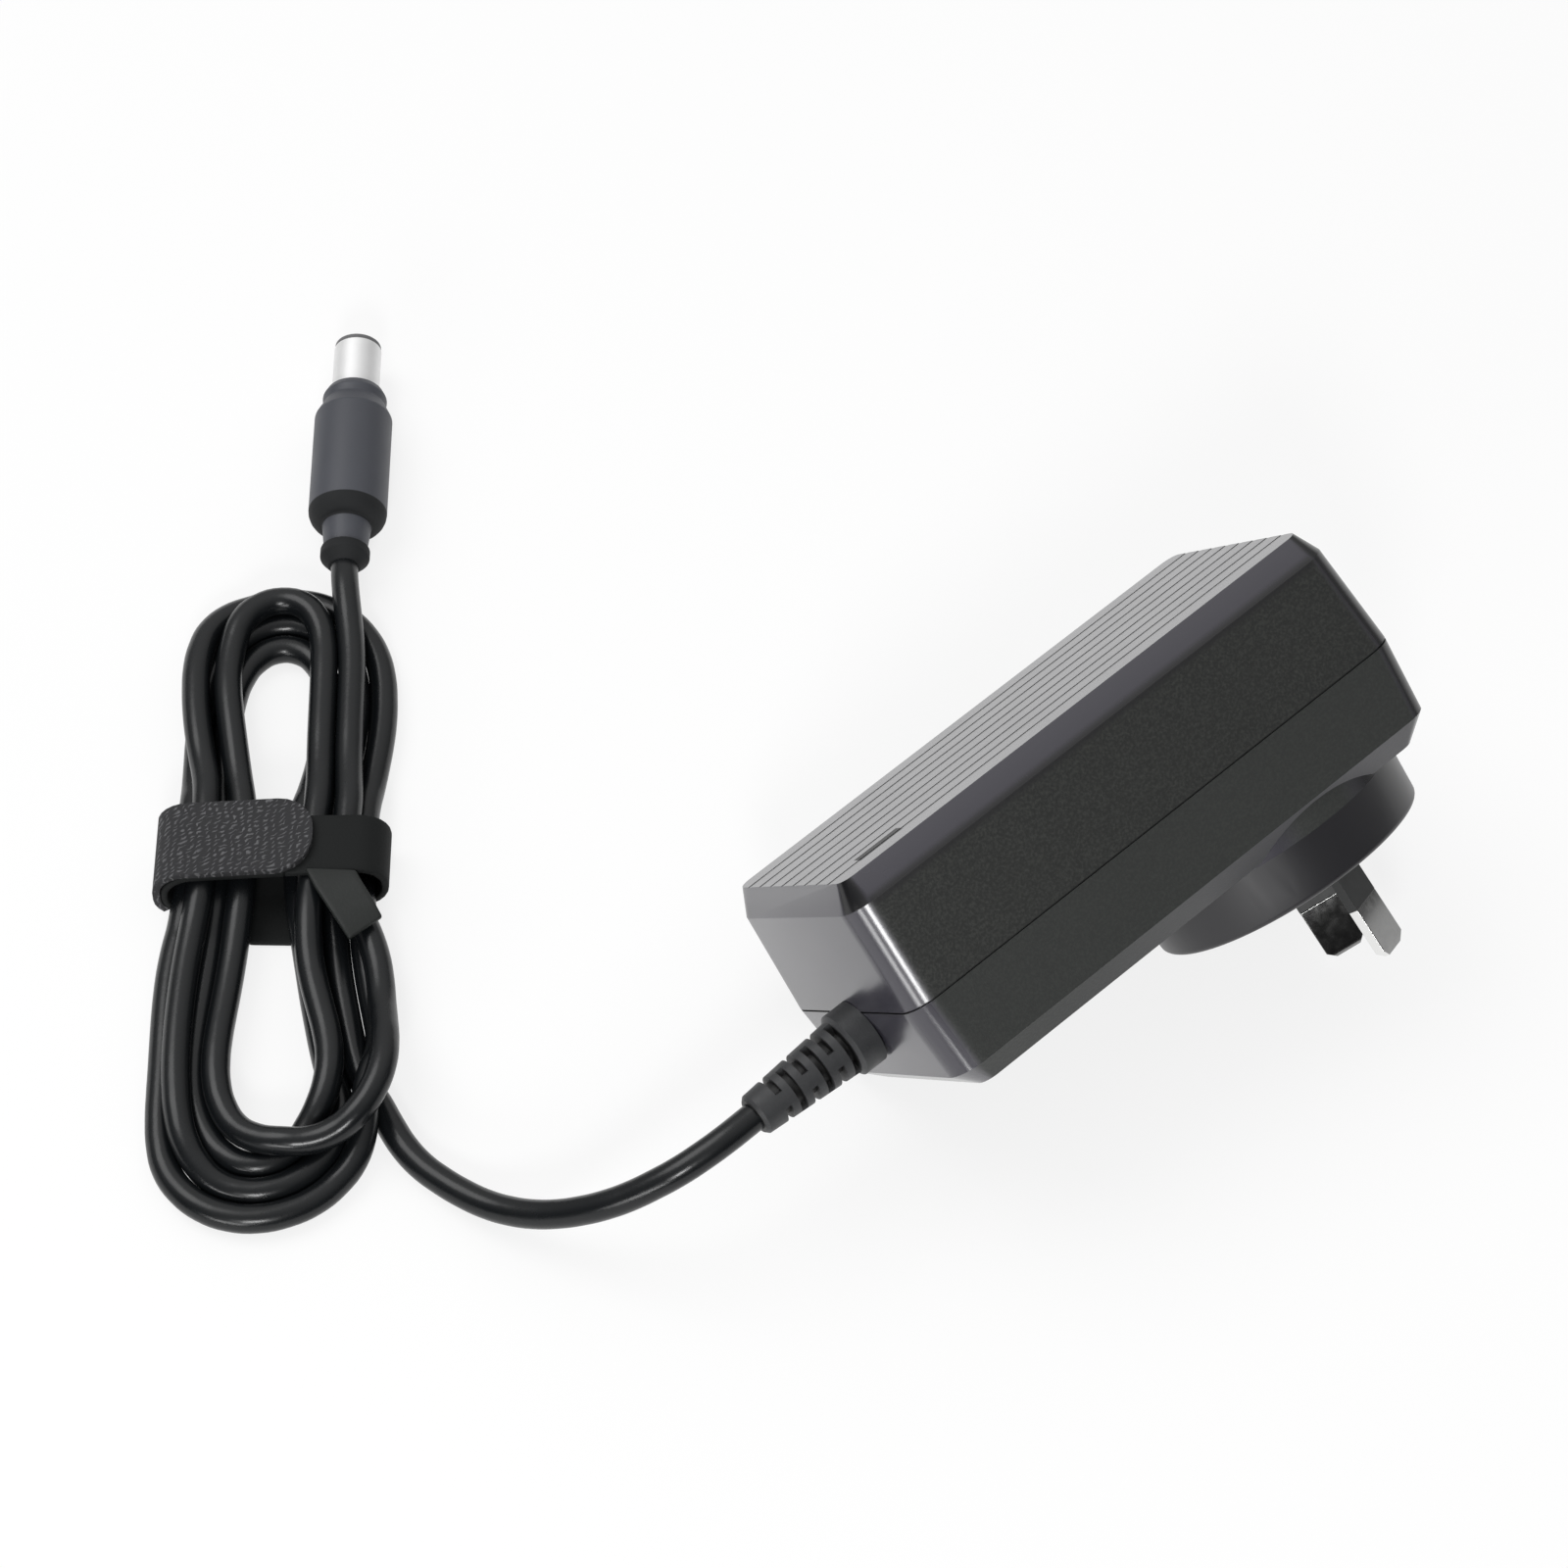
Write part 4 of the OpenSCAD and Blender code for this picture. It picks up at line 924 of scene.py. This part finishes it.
bladeLook = {
    "narrowHighlight": (0.85, 0.85, 0.84),                    # painted highlight on the narrow sides
    "wideShade": (0.21, 0.21, 0.21), "worn": (0.3, 0.3, 0.295),            # the wide sides, darker as a painted reflection, with random scuffs between the two
    "wide": (0.5, 0.8),                              # how squarely they look to their side
    "gloss": 0.06, "wear": 0.12, "wearSize": 1.2 * mm,
}


def bladeMetal(blade):
    # painted highlight on its narrow sides, and a darker painted reflection on its wide sides
    wide = max(blade.data.polygons, key=lambda f: f.area).normal
    look = Finish(blade.name + "Metal", bladeLook["worn"], bladeLook["gloss"], Metallic=1.0)
    flat = look.ease(abs(look.dot(look.normal, wide)), bladeLook["wide"])
    scuff = look.noise(bladeLook["wearSize"], 3)
    sides = look.blend(scuff, bladeLook["wideShade"], bladeLook["worn"])
    look.set("Base Color", look.blend(flat, bladeLook["narrowHighlight"], sides))
    look.set("Roughness", bladeLook["gloss"] + bladeLook["wear"] * scuff)
    return look


plate = {"wear": 0.1, "wearSize": 0.8 * mm, "dim": 0.92, "cloud": 4 * mm}
metals = {                            # colour and gloss
    "barrelNickel": ((0.92, 0.92, 0.92), 0.55),
    "screwSteel": ((0.55, 0.56, 0.58), 0.22),
    "contactBrass": ((0.83, 0.68, 0.38), 0.18),
}


def plating(name):
    colour, gloss = metals[name]
    look = Finish(name, colour, gloss, Metallic=1.0)
    look.set("Roughness", gloss + plate["wear"] * look.noise(plate["wearSize"], 2))
    dim = tuple(plate["dim"] * c for c in colour)
    look.set("Base Color", look.blend(look.noise(plate["cloud"], 2), colour, dim))
    return look


casePlastic().dress(bottomShell, topShell)
cordJacket().dress(cordPiece)
bootRubber().dress(boot)
gripPlastic().dress(grip)
strapCloth().dress(strapOver)
strapSmooth().dress(strapUnder, strapHead)
tabPlastic().dress(strapTab)
sleevePlastic().dress(*sleeves)
moulded("rimPlastic", **rimLook).dress(rim)
for blade in blades:
    bladeMetal(blade).dress(blade)
plating("barrelNickel").dress(barrel)
say("materials outside")

# The pieces inside the case: colour, roughness, grain in mm, and the nodes that have it
inner = {
    "fuseBody": ((0.1, 0.035, 0.018), 0.35, 0.5, ["fuse"]),
    "blueCoat": ((0.012, 0.055, 0.28), 0.3, 0.8, ["varistor", "y_capacitor"]),
    "greenCoat": ((0.015, 0.06, 0.035), 0.45, 0.8, ["inrush_limiter"]),
    "yellowCase": ((0.6, 0.38, 0.03), 0.35, 0.4, ["x_capacitor"]),
    "coatedFerrite": ((0.03, 0.14, 0.05), 0.4, 0.6, ["choke_core"]),
    "ferrite": ((0.032, 0.032, 0.035), 0.6, 0.25,
                ["transformer_core_lower", "transformer_core_upper", "output_choke"]),
    "epoxy": ((0.012, 0.012, 0.013), 0.55, 0.2,
              ["bridge_rectifier", "switching_transistor", "output_rectifier", "controller_chip"]),
    "canSleeve": ((0.012, 0.02, 0.075), 0.28, 1.2, ["bulk_capacitor", "output_capacitors"]),
    "bobbinPlastic": ((0.018, 0.018, 0.018), 0.45, 0.3, ["transformer_bobbin"]),
    "optoPlastic": ((0.72, 0.71, 0.66), 0.5, 0.2, ["optocoupler"]),
    "insulatingPaper": ((0.7, 0.68, 0.58), 0.6, 0.5, ["insulating_sheet"]),
    "retainerPlastic": ((0.58, 0.52, 0.38), 0.5, 0.3, ["blade_retainer"]),
    "leadBlack": ((0.01, 0.01, 0.01), 0.35, 0.4, ["feed_line", "output_lead_return"]),
    "leadWhite": ((0.7, 0.7, 0.68), 0.35, 0.4, ["feed_neutral"]),
    "leadRed": ((0.5, 0.012, 0.01), 0.35, 0.4, ["output_lead_positive"]),
    "leadYellow": ((0.7, 0.45, 0.02), 0.35, 0.4, ["output_lead_sense"]),
}
for name, (colour, rough, grain, where) in inner.items():
    moulded(name, colour, rough, grain).dress(*[nodes[n] for n in where])


def lined(look, axis, pitch):
    # even lines across an axis, such as turns of wire or laps of tape, with a pitch in mm
    return 0.5 + 0.5 * (look.dot(look.place, axis) * (2 * math.pi / (pitch * mm))).sine()


board = {
    "mask": (0.008, 0.075, 0.025), "track": (0.02, 0.15, 0.05),
    "alongPitch": 2.2, "acrossPitch": 2.6, "trackEdge": (0.55, 0.65),
    "patch": 9 * mm, "patchShare": 0.5,              # patches where the tracks turn
    "gloss": 0.3, "wear": 0.12, "wearSize": 3 * mm,
}


def boardLaminate():
    # solder mask over copper tracks that run along and across the board
    look = Finish("boardLaminate", board["mask"], board["gloss"])
    way = look.noise(board["patch"], 0) > board["patchShare"]
    one = look.ease(lined(look, caseAlong, board["alongPitch"]), board["trackEdge"])
    two = look.ease(lined(look, caseAcross, board["acrossPitch"]), board["trackEdge"])
    tracks = way * one + (1 - way) * two
    look.set("Base Color", look.blend(tracks, board["mask"], board["track"]))
    look.set("Roughness", board["gloss"] + board["wear"] * look.noise(board["wearSize"], 2))
    return look


copper = {
    "between": (0.42, 0.14, 0.05), "wire": (0.78, 0.36, 0.14),
    "rough": 0.3, "pitch": 0.7, "depth": 0.12 * mm,
}


def windingCopper():
    look = Finish("windingCopper", copper["wire"], copper["rough"], Metallic=1.0)
    turns = lined(look, caseAlong, copper["pitch"])
    look.set("Base Color", look.blend(turns, copper["between"], copper["wire"]))
    look.bump(turns, copper["depth"])
    return look


tape = {
    "clear": (0.75, 0.52, 0.04), "lap": (0.48, 0.3, 0.02),
    "rough": 0.35, "pitch": 3.4, "lapEdge": (0.9, 1.0),
    "cloud": 4 * mm, "cloudShare": 0.6,
    "depth": 0.05 * mm, "ripple": 0.3,
}


def windingTape():
    # clear yellow tape in laps round the bobbin
    look = Finish("windingTape", tape["clear"], tape["rough"])
    laps = look.ease(lined(look, caseUp, tape["pitch"]), tape["lapEdge"])
    cloud = look.noise(tape["cloud"], 2)
    shade = laps | tape["cloudShare"] * cloud
    look.set("Base Color", look.blend(shade, tape["clear"], tape["lap"]))
    look.bump(laps + tape["ripple"] * cloud, tape["depth"])
    return look


aluminium = {
    "colour": (0.76, 0.77, 0.78), "gloss": 0.28, "wear": 0.2,
    "streak": 0.4 * mm, "squeeze": 0.05,             # the less, the longer the streaks
    "depth": 0.015 * mm,
}


def sinkAluminium():
    # rolled sheet, with streaks along it
    look = Finish("sinkAluminium", aluminium["colour"], aluminium["gloss"], Metallic=1.0)
    drawn = look.node("ShaderNodeCombineXYZ", None, {
        0: look.dot(look.place, caseAlong) * aluminium["squeeze"],
        1: look.dot(look.place, caseAcross),
        2: look.dot(look.place, caseUp)})
    streak = look.noise(aluminium["streak"], 3, place=drawn)
    look.set("Roughness", aluminium["gloss"] + aluminium["wear"] * streak)
    look.bump(streak, aluminium["depth"])
    return look


boardLaminate().dress(nodes["circuit_board"])
windingCopper().dress(nodes["choke_winding_line"], nodes["choke_winding_neutral"])
windingTape().dress(nodes["transformer_winding"])
sinkAluminium().dress(nodes["primary_heat_sink"], nodes["secondary_heat_sink"])
plating("screwSteel").dress(nodes["heat_sink_screws"])
plating("contactBrass").dress(nodes["plug_contact"], nodes["plug_pin"])
say("materials inside")

stage = {
    "size": 6.0,                      # metres
    "floor": (0.95, 0.95, 0.95), "rough": 0.9,
    "white": 0.79,                    # share of plain white, for the camera and in reflections
}


def addFloor():
    mesh = bpy.data.meshes.new("floor")
    h = stage["size"] / 2
    mesh.from_pydata([(-h, -h, 0), (h, -h, 0), (h, h, 0), (-h, h, 0)], [], [(0, 1, 2, 3)])
    floor = added("floor", mesh)
    look = Finish("floorPaper", stage["floor"], stage["rough"], Specular_IOR_Level=0.0)
    seen = (look.node("ShaderNodeLightPath", out="Is Camera Ray")
            | look.node("ShaderNodeLightPath", out="Is Glossy Ray"))
    glow = look.node("ShaderNodeEmission", None, {"Color": (1, 1, 1), "Strength": 1.0})
    mix = look.node("ShaderNodeMixShader", None, {
        0: seen * stage["white"], 1: look.shader, 2: glow})
    look.feed(look.end.inputs["Surface"], mix)
    look.dress(floor)


world = {
    "axis": (0.35, 0.35, 0.87),       # towards its brightest part
    "dim": 0.03, "bright": 0.85,
    "wrap": 0.1, "fade": 1.5,         # how far the light goes past its side, and how fast it fades
}


def addWorld():
    # a soft sky, brightest overhead and behind, darker towards the front left
    studio = bpy.data.worlds.new("studio")
    bpy.context.scene.world = studio
    studio.use_nodes = True
    sky = Graph(studio.node_tree)
    facing = sky.dot(sky.node("ShaderNodeTexCoord", out="Generated"), world["axis"])
    lit = ((facing + world["wrap"]) / (1 + world["wrap"]) | 0.0) ** world["fade"]
    glow = world["dim"] + world["bright"] * lit
    seen = sky.node("ShaderNodeLightPath", out="Is Camera Ray")
    background = studio.node_tree.nodes["Background"]
    sky.feed(background.inputs["Color"], (1, 1, 1))
    sky.feed(background.inputs["Strength"], glow | seen)


# In metres and watts
lamps = {
    "backLight": {"place": (-0.35, 0.75, 1.2), "aim": (0, 0.03, 0), "size": (1.0, 1.0), "power": 7},
    "frontLight": {"place": (-0.77, -0.72, 0.78), "aim": (-0.08, 0.06, 0),
                   "size": (0.28, 0.28), "power": 6},
    "cornerLight": {"place": (-1.145, -0.5, 0.345), "aim": (-0.045, 0, 0.02),
                    "size": (0.85, 0.2), "power": 4.5},
}


def addLight(name, place, aim, size, power):
    data = bpy.data.lights.new(name, "AREA")
    data.shape = "ELLIPSE"
    data.size, data.size_y = size
    data.energy = power
    lamp = added(name, data)
    lamp.matrix_world = aimed(Vector(place), Vector(aim))


addFloor()
addWorld()
for name, lamp in lamps.items():
    addLight(name, **lamp)
bpy.context.scene.view_settings.view_transform = "Standard"
say("floor, sky and lamps")

inCase(-case["length"] / 2, 0, case["bootAxis"])
